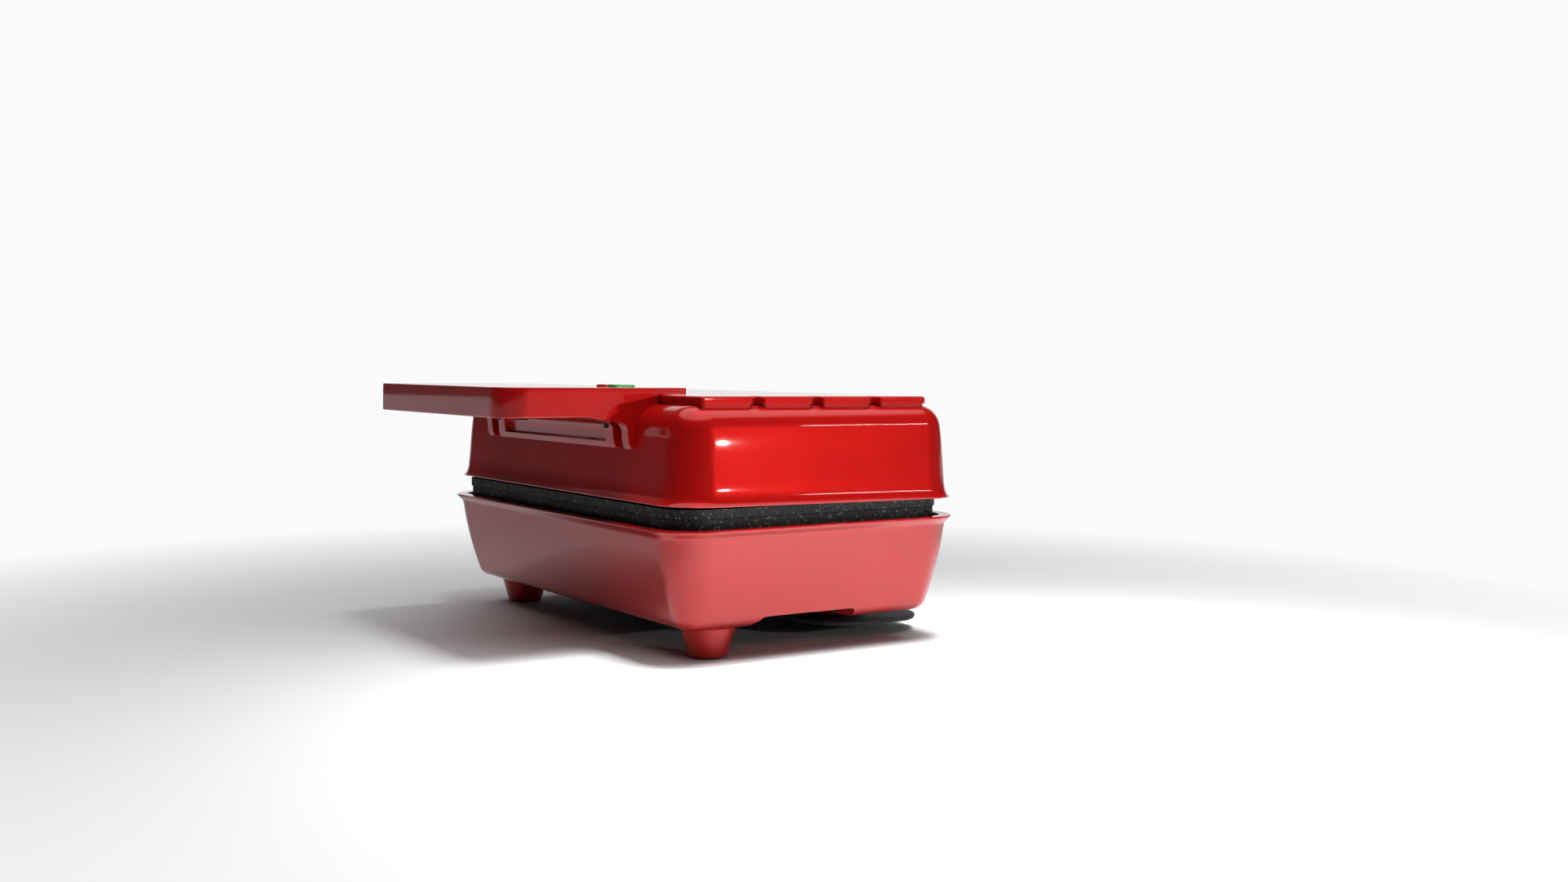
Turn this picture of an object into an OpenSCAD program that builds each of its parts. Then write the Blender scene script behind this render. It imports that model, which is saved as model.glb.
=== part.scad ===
// Donut maker: a clamshell appliance that bakes small ring donuts between two non-stick plates.
// X runs along the hinge, -Y is the front with the handle, +Z is up, and the feet stand on Z = 0.
// The pieces are drawn about the middle of the base and placed so that the origin lies under the
// middle of the whole appliance.

/* [Base] */
// Width of the base over its rim
base_w = 260; // [215:0.1:315]
// Depth of the base over its rim
base_d = 156.6; // [130:0.1:190]
// Height of the base rim above the table
rim_z = 58.9; // [56:0.1:72]
// Height of the underside of the base above the table
belly_z = 14.2; // [12:0.1:16]
// Corner radius of the rims, seen from above
corner_r = 22; // [22:0.5:30]
// Thickness of the moulded walls of the base
base_wall = 2.4; // [1.8:0.1:3]
// How far the rim lip stands out past the wall under it
lip_out = 3; // [2:0.1:4]
// How far the foot of the wall lies inside the rim
wall_in = 11.6; // [9:0.1:12]
// How far the wall bulges outwards half-way up
wall_bulge = 1.1; // [0:0.1:2]
// Radius where the wall turns under
belly_r = 7; // [5:0.5:8]

/* [Lid] */
// How far the lid rim lies inside the base rim at each side
lid_side_in = 2; // [1:0.1:4]
// How far the lid rim lies inside the base rim at the front
lid_front_in = 4; // [2:0.1:5]
// How far the lid rim lies inside the base rim at the rear
lid_rear_in = 0.8; // [0.5:0.1:1.5]
// Gap between the two rims at the hinge
rim_gap = 7.8; // [7:0.1:10]
// Height of the lid over its own rim
lid_h = 42.9; // [40:0.1:52]
// Thickness of the moulded walls of the lid
lid_wall = 2.2; // [1.8:0.1:2.6]
// How far the lip of the lid flares out past its wall
flare = 3; // [2:0.1:3.5]
// Height of the flared lip
flare_h = 12; // [9:0.5:14]
// How far the lid wall leans in between lip and top edge
lid_draft = 1.2; // [0:0.1:2]
// Radius of the top edge of the lid
lid_r = 12; // [10:0.5:13]
// Angle by which the closed lid stands up at the front
lid_tilt = 0.7; // [0:0.1:1]

/* [Top panel] */
// How far the side edges of the top panel lie inside the lid rim
panel_side_in = 10; // [9:0.5:14]
// How far the front edge of the top panel lies inside the lid rim
panel_front_in = 16; // [14:0.5:20]
// How far the rear edge of the top panel lies inside the lid rim
panel_rear_in = 16.4; // [14:0.5:20]
// Height of the top panel over the lid
panel_h = 4; // [3:0.1:5]
// Width of each vent notch in the panel's sides
notch_w = 4.4; // [3:0.1:6]
// Depth of each vent notch
notch_in = 5; // [4:0.5:8]
// Number of vent notches at each side
notch_n = 3; // [2:1:5]

/* [Handle] */
// Width of the handle
handle_w = 161; // [140:1:175]
// How far the handle stands out in front of the lid rim
handle_out = 58.2; // [50:0.1:70]
// Thickness of the handle in front of the lid
handle_t = 13.2; // [11:0.1:15]
// How far the handle plate stands over the top panel
handle_up = 3; // [2.6:0.1:4]
// How far the handle plate reaches back over the lid, from the lid rim
handle_back = 29.3; // [27:0.1:34]
// Corner radius of the handle
handle_r = 14.5; // [10:0.5:20]
// Wall thickness of the handle
handle_wall = 3; // [2.4:0.1:3.5]
// Width of the ears that run down the front of the lid
ear_w = 6.2; // [4:0.1:8]
// How far the ears reach down below the underside of the handle
ear_drop = 13.8; // [11:0.1:16]
// Gap between an ear and the frame of the under-cover
ear_gap = 8.5; // [6:0.5:12]
// Width of the frame of the under-cover
frame_w = 8; // [6:0.5:10]

/* [Baking plates] */
// How far the plates lie inside the base rim
plate_in = 7.7; // [7.5:0.1:8]
// Extra size of the upper plate at each edge
plate_step = 0.5; // [0:0.1:0.6]
// Thickness of the plate flange
plate_t = 4.15; // [3.5:0.05:5]
// Gap between the two plates when closed
plate_gap = 0.3; // [0.2:0.1:0.6]
// Corner radius of the plates
plate_r = 16; // [12:0.5:20]
// Radius of the baking ring at its middle line
ring_r = 21.5; // [19:0.5:22]
// Radius of the round section of a baking ring
ring_s = 10.5; // [8:0.5:11]
// Thickness of the plate metal round a baking ring
ring_wall = 2; // [1.5:0.1:2.5]
// Smallest land between two baking rings, and half of it at the plate edge
ring_land = 4; // [4:0.5:8]

/* [Hinge] */
// Distance of each hinge from the middle
hinge_x = 62; // [50:1:72]
// How far the hinge axis lies behind the base rim
hinge_back = 6.3; // [6.2:0.1:8]
// Height of the hinge axis over the base rim
hinge_up = 4.1; // [4:0.1:5]
// Radius of the knuckles
knuckle_r = 6.4; // [6:0.1:6.6]
// Width of the lid knuckle
knuckle_w = 14; // [10:0.5:18]
// Width of each base ear
hinge_ear_w = 5; // [4:0.5:7]
// Side gap between a knuckle and an ear
hinge_gap = 0.4; // [0.3:0.1:0.8]
// Radius of the hinge pins
pin_r = 2.5; // [2:0.1:2.8]
// Radius of the hinge bushes
bush_r = 4; // [3.6:0.1:4.5]
// Running clearance of the pins in the bushes
pin_play = 0.06; // [0.02:0.01:0.1]

/* [Feet and cord wrap] */
// Distance of the front feet from the middle of the base
foot_x = 100.2; // [80:0.1:124]
// How far the front feet lie inside the front of the rim
foot_in = 33.6; // [33:0.1:38]
// Radius of a front foot at its top
foot_top_r = 12.5; // [11:0.5:13]
// Radius of a front foot at the table
foot_low_r = 9; // [8.5:0.5:10]
// Width of the cord wrap plate
wrap_w = 186; // [150:1:200]
// Depth of the cord wrap plate
wrap_d = 58; // [50:1:60]
// How far the cord wrap plate stands out behind the base rim
wrap_out = 1.7; // [0:0.1:4]
// Thickness of the cord wrap plate
wrap_t = 2.2; // [1.8:0.1:3]
// Height of the cord wrap plate above the table
wrap_z = 5.5; // [4:0.5:6]
// Corner radius of the cord wrap plate
wrap_r = 20; // [10:1:24]
// Length of the cord notch in the right side
cord_notch = 49; // [30:1:60]
// Height of the cord notch
cord_notch_h = 4.4; // [3.6:0.1:5]

/* [Fasteners] */
// Radius of the screw shanks
screw_r = 1.5; // [1.2:0.1:1.7]
// Radius of the screw heads
head_r = 3; // [2.6:0.1:3.2]
// Height of the screw heads
head_t = 1.8; // [1.4:0.1:2]
// Play of a screw in a plain hole
screw_play = 0.2; // [0.1:0.05:0.3]

/* [Hidden] */
$fn = 64;

casing_red = [0.62, 0.04, 0.02];
black = [0.03, 0.03, 0.035];
steel = [0.7, 0.7, 0.72];
aluminium = [0.75, 0.75, 0.76];
plate_black = [0.06, 0.065, 0.07];
ceramic = [0.85, 0.83, 0.78];

cut = 1;                    // how far a cut runs past the surface it opens
seam = 0.05;                // air between mouldings that lie against each other
snug = 0.4;                 // clearance of a cover in its opening
pilot = 0.05;               // clearance of a screw in its pilot hole
land = 2;                   // thickness of the ledge that the bottom cover hangs under

// Base levels and insets
base_cover_in = belly_r + wall_in + 7.4;
ledge_in = base_cover_in + 6;
ledge_z = belly_z + base_wall;
floor_z = ledge_z + land;
lip_t = 2.4;
part_z = rim_z + hinge_up;

// Plate levels
lower_top = part_z - plate_gap / 2;
upper_low = part_z + plate_gap / 2;
plate_w = base_w - 2 * plate_in;
plate_d = base_d - 2 * plate_in;
ring_out = ring_r + ring_s;
ring_cols = floor((plate_w - ring_land) / (2 * ring_out + ring_land));
ring_rows = floor((plate_d - ring_land) / (2 * ring_out + ring_land));
pitch_x = (plate_w - ring_land) / ring_cols;
pitch_y = (plate_d - ring_land) / ring_rows;
ring_grow = ring_s + ring_wall;

// Heaters and shields, measured from the parting plane
heater_r = 3.5;
heater_off = plate_gap / 2 + ring_grow + heater_r + 0.25;
heater_front_in = 42.3;
heater_y = plate_d / 2 - heater_front_in;
heater_side_in = 72;
heater_x = plate_w / 2 - heater_side_in;
heater_tail = 20;           // straight end of the rod past the last bend's level
shield_off = heater_off + heater_r + 4;
shield_t = 1.2;
shield_side_in = 5;
shield_front_in = 11;
shield_rim = 8;
saddle_x = 40;
post_side_in = 10;          // posts in from the sides of the cover's opening
post_front_in = 3.3;        // posts in from its front and rear
post_x = base_w / 2 - ledge_in - post_side_in;
post_y = base_d / 2 - ledge_in - post_front_in;
post_r = 5.5;
boss_r = 5;
plate_grip = 10;
post_seat = 6;              // height of the solid left under a sunk screw head

// Lid
lid_z = rim_z + rim_gap;
lid_w = base_w - 2 * lid_side_in;
lid_front = base_d / 2 - lid_front_in;
lid_rear = base_d / 2 - lid_rear_in;
lid_d = lid_front + lid_rear;
lid_y = (lid_rear - lid_front) / 2;
lid_top = lid_z + lid_h;
panel_top = lid_top + panel_h;
panel_w = lid_w - 2 * panel_side_in;
panel_front = lid_front - panel_front_in;
panel_rear = lid_rear - panel_rear_in;

// Hinge
hinge_y = base_d / 2 + hinge_back;
hinge_z = part_z;
ear_out = knuckle_w / 2 + hinge_gap + hinge_ear_w;

// Handle
handle_top = panel_top + handle_up;
handle_low = handle_top - handle_t;
handle_front = lid_front + handle_out;
handle_rear = lid_front - handle_back;
ear_y = lid_front - flare - lid_draft + 2;
ear_fillet = 5;
ear_slope = 19;             // length of the ear's slope under the handle
ear_dip = 1.8;              // drop of that slope
ear_lean = 1.4;             // lean of the ear's front below its turn
ear_low = handle_low - ear_drop;
grip_rear = ear_y + 9;
cover_t = 2.4;
frame_x = handle_w / 2 - ear_w - ear_gap;

// Lamps beside each other at the root of the handle
lens_x = [20, 32];
lens_y = handle_rear + 8;
lens_w = 8;
lens_d = 12;
lens_up = 0.8;
lamp_r = 2;
lamp_hole_r = 3;
holder_z = lid_top - lid_wall - 6;

// Feet and cord wrap
foot_y = base_d / 2 - foot_in;
pad_r = foot_low_r - 1.5;
pad_t = 2.6;
pad_up = 0.6;
foot_seat_z = pad_t + 4.4;
wrap_rear = base_d / 2 + wrap_out;
wrap_y = wrap_rear - wrap_d / 2;
wrap_top = wrap_z + wrap_t;
drum_in = 16;
drum_front = wrap_rear - wrap_d + 14;
drum_rear = base_d / 2 - base_cover_in + 5.6;
drum_y = (drum_front + drum_rear) / 2;
wrap_screw_x = 25;
wrap_screw_y = base_d / 2 - ledge_in - boss_r - snug;
rear_foot_x = 50;
rear_foot_r = 8;
rear_foot_y = wrap_rear - 18;
notch_from = -27;
notch_roof = 2.2;
notch_deep = 35;
block_x = -55;
block_w = 14;
block_pitch = 9;
gland_x = 62;
gland_y = 2;
gland_r = 5.5;
cord_bore_r = 3.5;

// The handle's front, after the lid's slight tilt, and the rear of the hinge bound the whole in Y.
tilted_front = hinge_y - (hinge_y + handle_front) * cos(lid_tilt)
    + (handle_low - hinge_z) * sin(lid_tilt);
whole_y = -(tilted_front + hinge_y + knuckle_r) / 2;

// ---------- shared shapes ----------

// Moves children from the middle of the base to their place over the origin
module placed() {
    translate([0, whole_y, 0]) children();
}

// Stands children up with the closed lid's slight tilt about the hinge axis
module tilted() {
    translate([0, hinge_y, hinge_z]) rotate([-lid_tilt, 0, 0]) translate([0, -hinge_y, -hinge_z])
        children();
}

// How far the tilt lifts a point of the lid that lies at a given Y
function tilt_rise(y) = (hinge_y - y) * sin(lid_tilt);

module both_sides() {
    children();
    mirror([1, 0, 0]) children();
}

module four_corners(x, y) {
    for (sx = [-1, 1], sy = [-1, 1]) translate([sx * x, sy * y, 0]) children();
}

// A solid with rounded corners whose edge follows a list of [inset, height] points
module bowl(w, d, r, points) {
    low = points[0][1];
    high = points[len(points) - 1][1];
    module half(reach) {
        polygon(concat([[0, low]], [for (p = points) [reach - p[0], p[1]]], [[0, high]]));
    }
    for (s = [0, 1]) mirror([s, 0, 0])
        rotate([90, 0, 0]) linear_extrude(d - 2 * r, center = true) half(w / 2);
    for (s = [0, 1]) mirror([0, s, 0])
        rotate([90, 0, 90]) linear_extrude(w - 2 * r, center = true) half(d / 2);
    four_corners(w / 2 - r, d / 2 - r) rotate_extrude() half(r);
}

module rounded_plate(w, d, r, z0, z1) {
    translate([0, 0, z0]) linear_extrude(z1 - z0) rounded_outline(w, d, r);
}

module rounded_outline(w, d, r) {
    square([w - 2 * r, d], center = true);
    square([w, d - 2 * r], center = true);
    for (sx = [-1, 1], sy = [-1, 1]) translate([sx * (w / 2 - r), sy * (d / 2 - r)]) circle(r);
}

module rod(r, z0, z1) {
    translate([0, 0, z0]) cylinder(r = r, h = z1 - z0);
}

// A screw with its head's seat at z = 0 and its shank running up
module screw(length) {
    rod(head_r, -head_t, 0);
    rod(screw_r, -0.01, length);
}

// ---------- outlines ----------

// Inset of the base wall at a height, without its lip
function wall_inset(z) =
    let (t = (rim_z - lip_t - 1 - z) / (rim_z - lip_t - 1 - belly_turn_z))
    lip_out + (wall_in - lip_out) * t - 4 * wall_bulge * t * (1 - t);

belly_start = 20;
belly_turn_z = belly_z + belly_r * (1 - sin(belly_start));
belly_in = wall_in + belly_r * cos(belly_start);

function base_points(skin) = concat(
    skin > 0 ? [] : [for (a = [90, 70, 50, 35, belly_start])
        [belly_in - belly_r * cos(a), belly_z + belly_r * (1 - sin(a))]],
    [for (i = [skin > 0 ? 0 : 1 : 6]) let (z0 = skin > 0 ? floor_z : belly_turn_z,
        z = z0 + (rim_z - lip_t - 1 - z0) * i / 6) [wall_inset(z) + skin, z]],
    skin > 0 ? [[lip_out + skin, rim_z + cut]]
        : [[0.5, rim_z - lip_t], [0, rim_z - lip_t + 0.5], [0, rim_z - 0.5], [0.5, rim_z]]);

// Edge of the lid from its lip to its top. A skin above 0 gives the inside of the wall, and one
// below 0 a shape that is larger all round.
lip_edge = 1.2;

function lid_points(skin) = concat(
    [[skin, skin > 0 ? lid_z - cut : lid_z + skin], [skin, lid_z + lip_edge]],
    [for (t = [0.25, 0.5, 0.75, 1])
        [flare * (1 - pow(1 - t, 2)) + skin, lid_z + lip_edge + (flare_h - lip_edge) * t]],
    [for (a = [0, 18, 36, 54, 72, 90])
        [flare + lid_draft + lid_r - (lid_r - skin) * cos(a), lid_top - lid_r + (lid_r - skin) * sin(a)]]);

module base_outer() {
    bowl(base_w, base_d, corner_r, base_points(0));
}

module lid_outer(grow) {
    translate([0, lid_y, 0]) bowl(lid_w, lid_d, corner_r, lid_points(-grow));
}

// ---------- the base ----------

module hinge_ear_profile() {
    translate([hinge_y, hinge_z]) circle(knuckle_r);
    low = rim_z - 15;
    mid = rim_z - lip_t - 1;
    polygon([[base_d / 2 - wall_inset(low) - base_wall / 2, low],
        [base_d / 2 - wall_inset(mid) - base_wall / 2, mid],
        [base_d / 2 - lip_out - base_wall / 2, rim_z],
        [hinge_y - knuckle_r, rim_z],
        [hinge_y - knuckle_r, hinge_z], [hinge_y + knuckle_r, hinge_z],
        [hinge_y + knuckle_r, hinge_z - knuckle_r]]);
}

module hinge_ears() {
    for (s = [-1, 1]) translate([s * (ear_out - hinge_ear_w / 2), 0, 0])
        rotate([90, 0, 90]) linear_extrude(hinge_ear_w, center = true) hinge_ear_profile();
}

// The cord notch, cut up into the right side of the belly, with its front end flared
module cord_notch_cut(grow) {
    x0 = base_w / 2 - notch_deep - grow;
    rear = notch_from + cord_notch;
    top = belly_z + cord_notch_h;
    turn = cord_notch_h / 2;
    translate([x0, 0, 0]) rotate([90, 0, 90]) linear_extrude(notch_deep + grow) {
        polygon([[notch_from - grow, belly_z - cut], [rear + grow, belly_z - cut],
            [rear + grow, top - turn], [rear - turn, top], [notch_from + turn, top],
            [notch_from - grow, top - turn]]);
        translate([rear - turn, top - turn]) circle(turn);
        translate([notch_from + turn, top - turn]) circle(turn);
    }
}

module base_shell() {
    color(casing_red) placed() difference() {
        union() {
            difference() {
                base_outer();
                bowl(base_w, base_d, corner_r, base_points(base_wall));
                rounded_plate(base_w - 2 * base_cover_in, base_d - 2 * base_cover_in, snug + 6,
                    belly_z - cut, ledge_z);
                rounded_plate(base_w - 2 * ledge_in, base_d - 2 * ledge_in, 6,
                    belly_z - cut, floor_z + cut);
            }
            // roof over the cord notch
            translate([base_w / 2 - notch_deep - 2.5, notch_from - 4, ledge_z])
                cube([notch_deep - wall_in, cord_notch + 8, cord_notch_h + notch_roof - base_wall]);
            // posts under the heat shield and bosses over the feet and rear cover screws
            four_corners(post_x, post_y) rod(post_r, ledge_z, part_z - shield_off - shield_t);
            four_corners(foot_x, foot_y) rod(boss_r, ledge_z, floor_z + 9);
            for (s = [-1, 1]) translate([s * hinge_x, 0, 0]) hinge_ears();
        }
        cord_notch_cut(0);
        four_corners(post_x, post_y) {
            rod(screw_r + screw_play, ledge_z - cut, part_z);
            rod(head_r + screw_play, ledge_z - cut, ledge_z + post_seat);
        }
        four_corners(foot_x, foot_y) rod(screw_r + pilot, ledge_z - cut, floor_z + 8);
        translate([0, hinge_y, hinge_z]) rotate([0, 90, 0])
            cylinder(r = pin_r, h = base_w, center = true);
    }
}

module bottom_cover() {
    vents = 9;
    vent_pitch = 8;
    vent_w = 3;
    vent_l = foot_y * 0.7;
    color(black) placed() difference() {
        union() {
            rounded_plate(base_w - 2 * base_cover_in - 2 * snug, base_d - 2 * base_cover_in - 2 * snug,
                6, belly_z, ledge_z);
            for (s = [-1, 1]) translate([s * wrap_screw_x, wrap_screw_y, 0])
                rod(boss_r, ledge_z, ledge_z + 8);
        }
        cord_notch_cut(snug);
        four_corners(foot_x, foot_y) rod(screw_r + screw_play, belly_z - cut, ledge_z + cut);
        for (s = [-1, 1]) translate([s * wrap_screw_x, wrap_screw_y, 0])
            rod(screw_r + pilot, belly_z - cut, ledge_z + 7);
        translate([gland_x, gland_y, 0]) rod(gland_r, belly_z - cut, ledge_z + cut);
        for (i = [0:vents - 1]) translate([(i - (vents - 1) / 2) * vent_pitch, -foot_y / 2, 0])
            rounded_plate(vent_w, vent_l, vent_w / 2 - 0.01, belly_z - cut, ledge_z + cut);
    }
}

module front_foot(side) {
    edge = 1;
    color(casing_red) placed() translate([side * foot_x, -foot_y, 0]) difference() {
        rotate_extrude() polygon([[0, pad_up], [foot_low_r - edge, pad_up],
            [foot_low_r - edge * 0.3, pad_up + edge * 0.3], [foot_low_r, pad_up + edge],
            [foot_top_r, belly_z], [0, belly_z]]);
        rod(pad_r, -cut, pad_t);
        rod(head_r + 1, -cut, foot_seat_z);
        rod(screw_r + screw_play, -cut, belly_z + cut);
    }
}

module front_foot_left() { front_foot(-1); }
module front_foot_right() { front_foot(1); }

module front_foot_pads() {
    color(black) placed() for (s = [-1, 1]) translate([s * foot_x, -foot_y, 0])
        rotate_extrude() polygon([[0, 0], [pad_r - 0.6, 0], [pad_r - snug / 2, 0.5],
            [pad_r - snug / 2, pad_t], [0, pad_t]]);
}

module rear_foot(side) {
    color(black) placed() translate([side * rear_foot_x, rear_foot_y, 0]) {
        rotate_extrude() polygon([[0, 0], [rear_foot_r - 1.6, 0], [rear_foot_r - 1, 0.6],
            [rear_foot_r, wrap_z], [0, wrap_z]]);
        rod(rear_foot_r / 2 - seam, wrap_z - 0.01, wrap_top);
    }
}

module rear_foot_left() { rear_foot(-1); }
module rear_foot_right() { rear_foot(1); }

module cord_wrap_drum() {
    color(casing_red) placed() difference() {
        translate([0, drum_y, 0]) rounded_plate(wrap_w - 2 * drum_in, drum_rear - drum_front,
            (drum_rear - drum_front) / 2 - 0.5, wrap_top, belly_z);
        for (s = [-1, 1]) translate([s * wrap_screw_x, wrap_screw_y, 0])
            rod(screw_r + screw_play, wrap_top - cut, belly_z + cut);
    }
}

module cord_wrap_plate() {
    color(black) placed() difference() {
        translate([0, wrap_y, 0]) rounded_plate(wrap_w, wrap_d, wrap_r, wrap_z, wrap_top);
        for (s = [-1, 1]) {
            translate([s * wrap_screw_x, wrap_screw_y, 0])
                rod(screw_r + screw_play, wrap_z - cut, wrap_top + cut);
            translate([s * rear_foot_x, rear_foot_y, 0]) rod(rear_foot_r / 2, wrap_z - cut, wrap_top + cut);
        }
    }
}

module cord_gland() {
    color(black) placed() translate([gland_x, gland_y, 0]) difference() {
        union() {
            rod(gland_r + 2.5, belly_z - 1.5, belly_z);
            rod(gland_r - seam, belly_z - 0.01, ledge_z + 0.01);
            rod(gland_r + 1.5, ledge_z, ledge_z + 5);
        }
        rod(cord_bore_r, 0, ledge_z + 5 + cut);
    }
}

// ---------- plates, heaters and shields ----------

module ring_places() {
    for (i = [0:ring_cols - 1], j = [0:ring_rows - 1])
        translate([(i - (ring_cols - 1) / 2) * pitch_x, (j - (ring_rows - 1) / 2) * pitch_y, 0])
            children();
}

module torus(r, s) {
    rotate_extrude() translate([r, 0]) circle(s);
}

// A plate seen from its back, with its baking face at z = 0 and its rings hollowed from below
module baking_plate(step) {
    gutter_in = 1.2;
    difference() {
        union() {
            rounded_plate(plate_w + 2 * step, plate_d + 2 * step, plate_r, 0, plate_t);
            ring_places() torus(ring_r, ring_grow);
            four_corners(post_x, post_y) rod(boss_r, ring_wall, shield_off - plate_gap / 2);
        }
        rounded_plate(plate_w + 2, plate_d + 2, plate_r, -ring_grow - cut, 0);
        ring_places() torus(ring_r, ring_s);
        four_corners(post_x, post_y)
            rod(screw_r + pilot, shield_off - plate_gap / 2 - plate_grip, shield_off);
        // drip groove round the edge of the baking face
        difference() {
            rounded_plate(plate_w - 2 * gutter_in, plate_d - 2 * gutter_in, plate_r - gutter_in, -cut, 0.6);
            rounded_plate(plate_w - 2 * gutter_in - 1.2, plate_d - 2 * gutter_in - 1.2,
                plate_r - gutter_in - 0.6, -cut, 0.6 + cut);
        }
    }
}

module lower_plate() {
    color(plate_black) placed() translate([0, 0, lower_top]) mirror([0, 0, 1]) baking_plate(0);
}

module upper_plate() {
    color(plate_black) placed() translate([0, 0, upper_low]) baking_plate(plate_step);
}

// A hairpin heating rod with its terminals at the right, in the plane z = 0
module heater() {
    terminal = 8;
    for (s = [-1, 1]) translate([-heater_x, s * heater_y, 0]) rotate([0, 90, 0]) {
        cylinder(r = heater_r, h = 2 * heater_x + heater_tail);
        cylinder(r = heater_r / 2.5, h = 2 * heater_x + heater_tail + terminal);
    }
    translate([-heater_x, 0, 0]) rotate([0, 0, 90])
        rotate_extrude(angle = 180) translate([heater_y, 0]) circle(heater_r);
}

module lower_heater() {
    color(steel) placed() translate([0, 0, part_z - heater_off]) heater();
}

module upper_heater() {
    color(steel) placed() translate([0, 0, part_z + heater_off]) heater();
}

// Saddles between the shield and the heating rod, with the shield's face at z = 0
module saddles() {
    up = shield_off - heater_off;
    for (sx = [-1, 1], sy = [-1, 1]) translate([sx * saddle_x, sy * heater_y, 0]) difference() {
        translate([0, 0, up / 2]) cube([6, 2 * heater_r + 4, up], center = true);
        translate([0, 0, up]) rotate([0, 90, 0]) cylinder(r = heater_r, h = 8, center = true);
    }
}

module lower_heater_saddles() {
    color(ceramic) placed() translate([0, 0, part_z - shield_off]) saddles();
}

module upper_heater_saddles() {
    color(ceramic) placed() translate([0, 0, part_z + shield_off]) mirror([0, 0, 1]) saddles();
}

// A shallow tray that throws the heat back at the plate, with its inner face at z = 0
module shield() {
    w = plate_w - 2 * shield_side_in;
    d = plate_d - 2 * shield_front_in;
    difference() {
        rounded_plate(w, d, plate_r, -shield_t, shield_rim);
        rounded_plate(w - 2 * shield_t, d - 2 * shield_t, plate_r - shield_t, 0, shield_rim + cut);
        four_corners(post_x, post_y) rod(screw_r + screw_play, -shield_t - cut, cut);
    }
}

module lower_heat_shield() {
    color(aluminium) placed() translate([0, 0, part_z - shield_off]) shield();
}

module upper_heat_shield() {
    color(aluminium) placed() translate([0, 0, part_z + shield_off]) mirror([0, 0, 1]) shield();
}

// ---------- electrical pieces ----------

shield_under = part_z - shield_off - shield_t;
stat_under = shield_under - 7;
tag_drop = 5.5;             // how far a terminal tag hangs out of its piece
tag_x = 4;
fuse_x = -28;
fuse_r = 2.5;

module tags(z) {
    for (s = [-1, 1]) translate([s * tag_x, 0, z]) cube([1, 5, tag_drop], center = true);
}

module thermostat() {
    color(ceramic) placed() {
        rod(8, stat_under, shield_under - 1);
        rod(11, shield_under - 1, shield_under);
        tags(stat_under - tag_drop / 2 + seam);
    }
}

module thermal_fuse() {
    color(aluminium) placed() translate([fuse_x, 0, shield_under - 3]) {
        rotate([90, 0, 0]) cylinder(r = fuse_r, h = 14, center = true);
        translate([0, 0, 1.5]) cube([4, 8, 3], center = true);
    }
}

module terminal_block() {
    color(ceramic) placed() translate([block_x, gland_y, ledge_z]) difference() {
        translate([-block_w / 2, -15, 0]) cube([block_w, 30, 12]);
        for (i = [-1, 0, 1]) translate([0, i * block_pitch, 0]) {
            rod(2, 5, 12 + cut);
            translate([0, 0, 4]) rotate([0, 90, 0]) cylinder(r = 1.6, h = block_w + 2, center = true);
        }
    }
}

// A lead that leaves the terminal block, turns sideways and then up to a tag
module lead(row, x, y, top) {
    r = 1;
    x0 = block_x + 2;
    y0 = gland_y + row * block_pitch;
    z0 = ledge_z + 4;
    translate([x0, y0, z0]) rotate([0, 90, 0]) cylinder(r = r, h = x - x0);
    translate([x, y0, z0]) sphere(r);
    translate([x, y0, z0]) rotate([y > y0 ? -90 : 90, 0, 0]) cylinder(r = r, h = abs(y - y0));
    translate([x, y, z0]) sphere(r);
    translate([x, y, z0]) cylinder(r = r, h = top - z0);
}

module base_leads() {
    color("white") placed() {
        lead(0, fuse_x, 0, shield_under - 3 - fuse_r - seam);
        lead(-1, -tag_x, 0, stat_under - tag_drop);
        lead(1, tag_x, 0, stat_under - tag_drop);
    }
}

// ---------- screws and pins ----------

module foot_screws() {
    color(steel) placed() for (s = [-1, 1]) translate([s * foot_x, -foot_y, foot_seat_z])
        screw(floor_z + 7 - foot_seat_z);
}

module cover_screws() {
    color(steel) placed() for (s = [-1, 1]) translate([s * foot_x, foot_y, belly_z])
        screw(floor_z + 7 - belly_z);
}

module cord_wrap_screws() {
    color(steel) placed() for (s = [-1, 1]) translate([s * wrap_screw_x, wrap_screw_y, wrap_z])
        screw(ledge_z + 6 - wrap_z);
}

module lower_plate_screws() {
    color(steel) placed() four_corners(post_x, post_y) translate([0, 0, ledge_z + post_seat])
        screw(part_z - shield_off + plate_grip - 1 - ledge_z - post_seat);
}

upper_seat_z = part_z + shield_off + shield_t + post_seat;

module upper_plate_screws() {
    color(steel) placed() four_corners(post_x, post_y) translate([0, 0, upper_seat_z])
        mirror([0, 0, 1]) screw(upper_seat_z - part_z - shield_off + plate_grip - 1);
}

module hinge_pin(side) {
    color(steel) placed() translate([side * hinge_x, hinge_y, hinge_z]) rotate([0, 90, 0]) {
        cylinder(r = pin_r, h = 2 * ear_out, center = true);
        translate([0, 0, side * (ear_out + 0.75)]) cylinder(r = pin_r + 1.3, h = 1.5, center = true);
    }
}

module hinge_pin_left() { hinge_pin(-1); }
module hinge_pin_right() { hinge_pin(1); }

module hinge_bushes() {
    color(ceramic) placed() for (s = [-1, 1]) translate([s * hinge_x, hinge_y, hinge_z])
        rotate([0, 90, 0]) difference() {
            cylinder(r = bush_r, h = knuckle_w, center = true);
            cylinder(r = pin_r + pin_play, h = knuckle_w + 2 * cut, center = true);
        }
}

// ---------- the lid ----------

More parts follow.
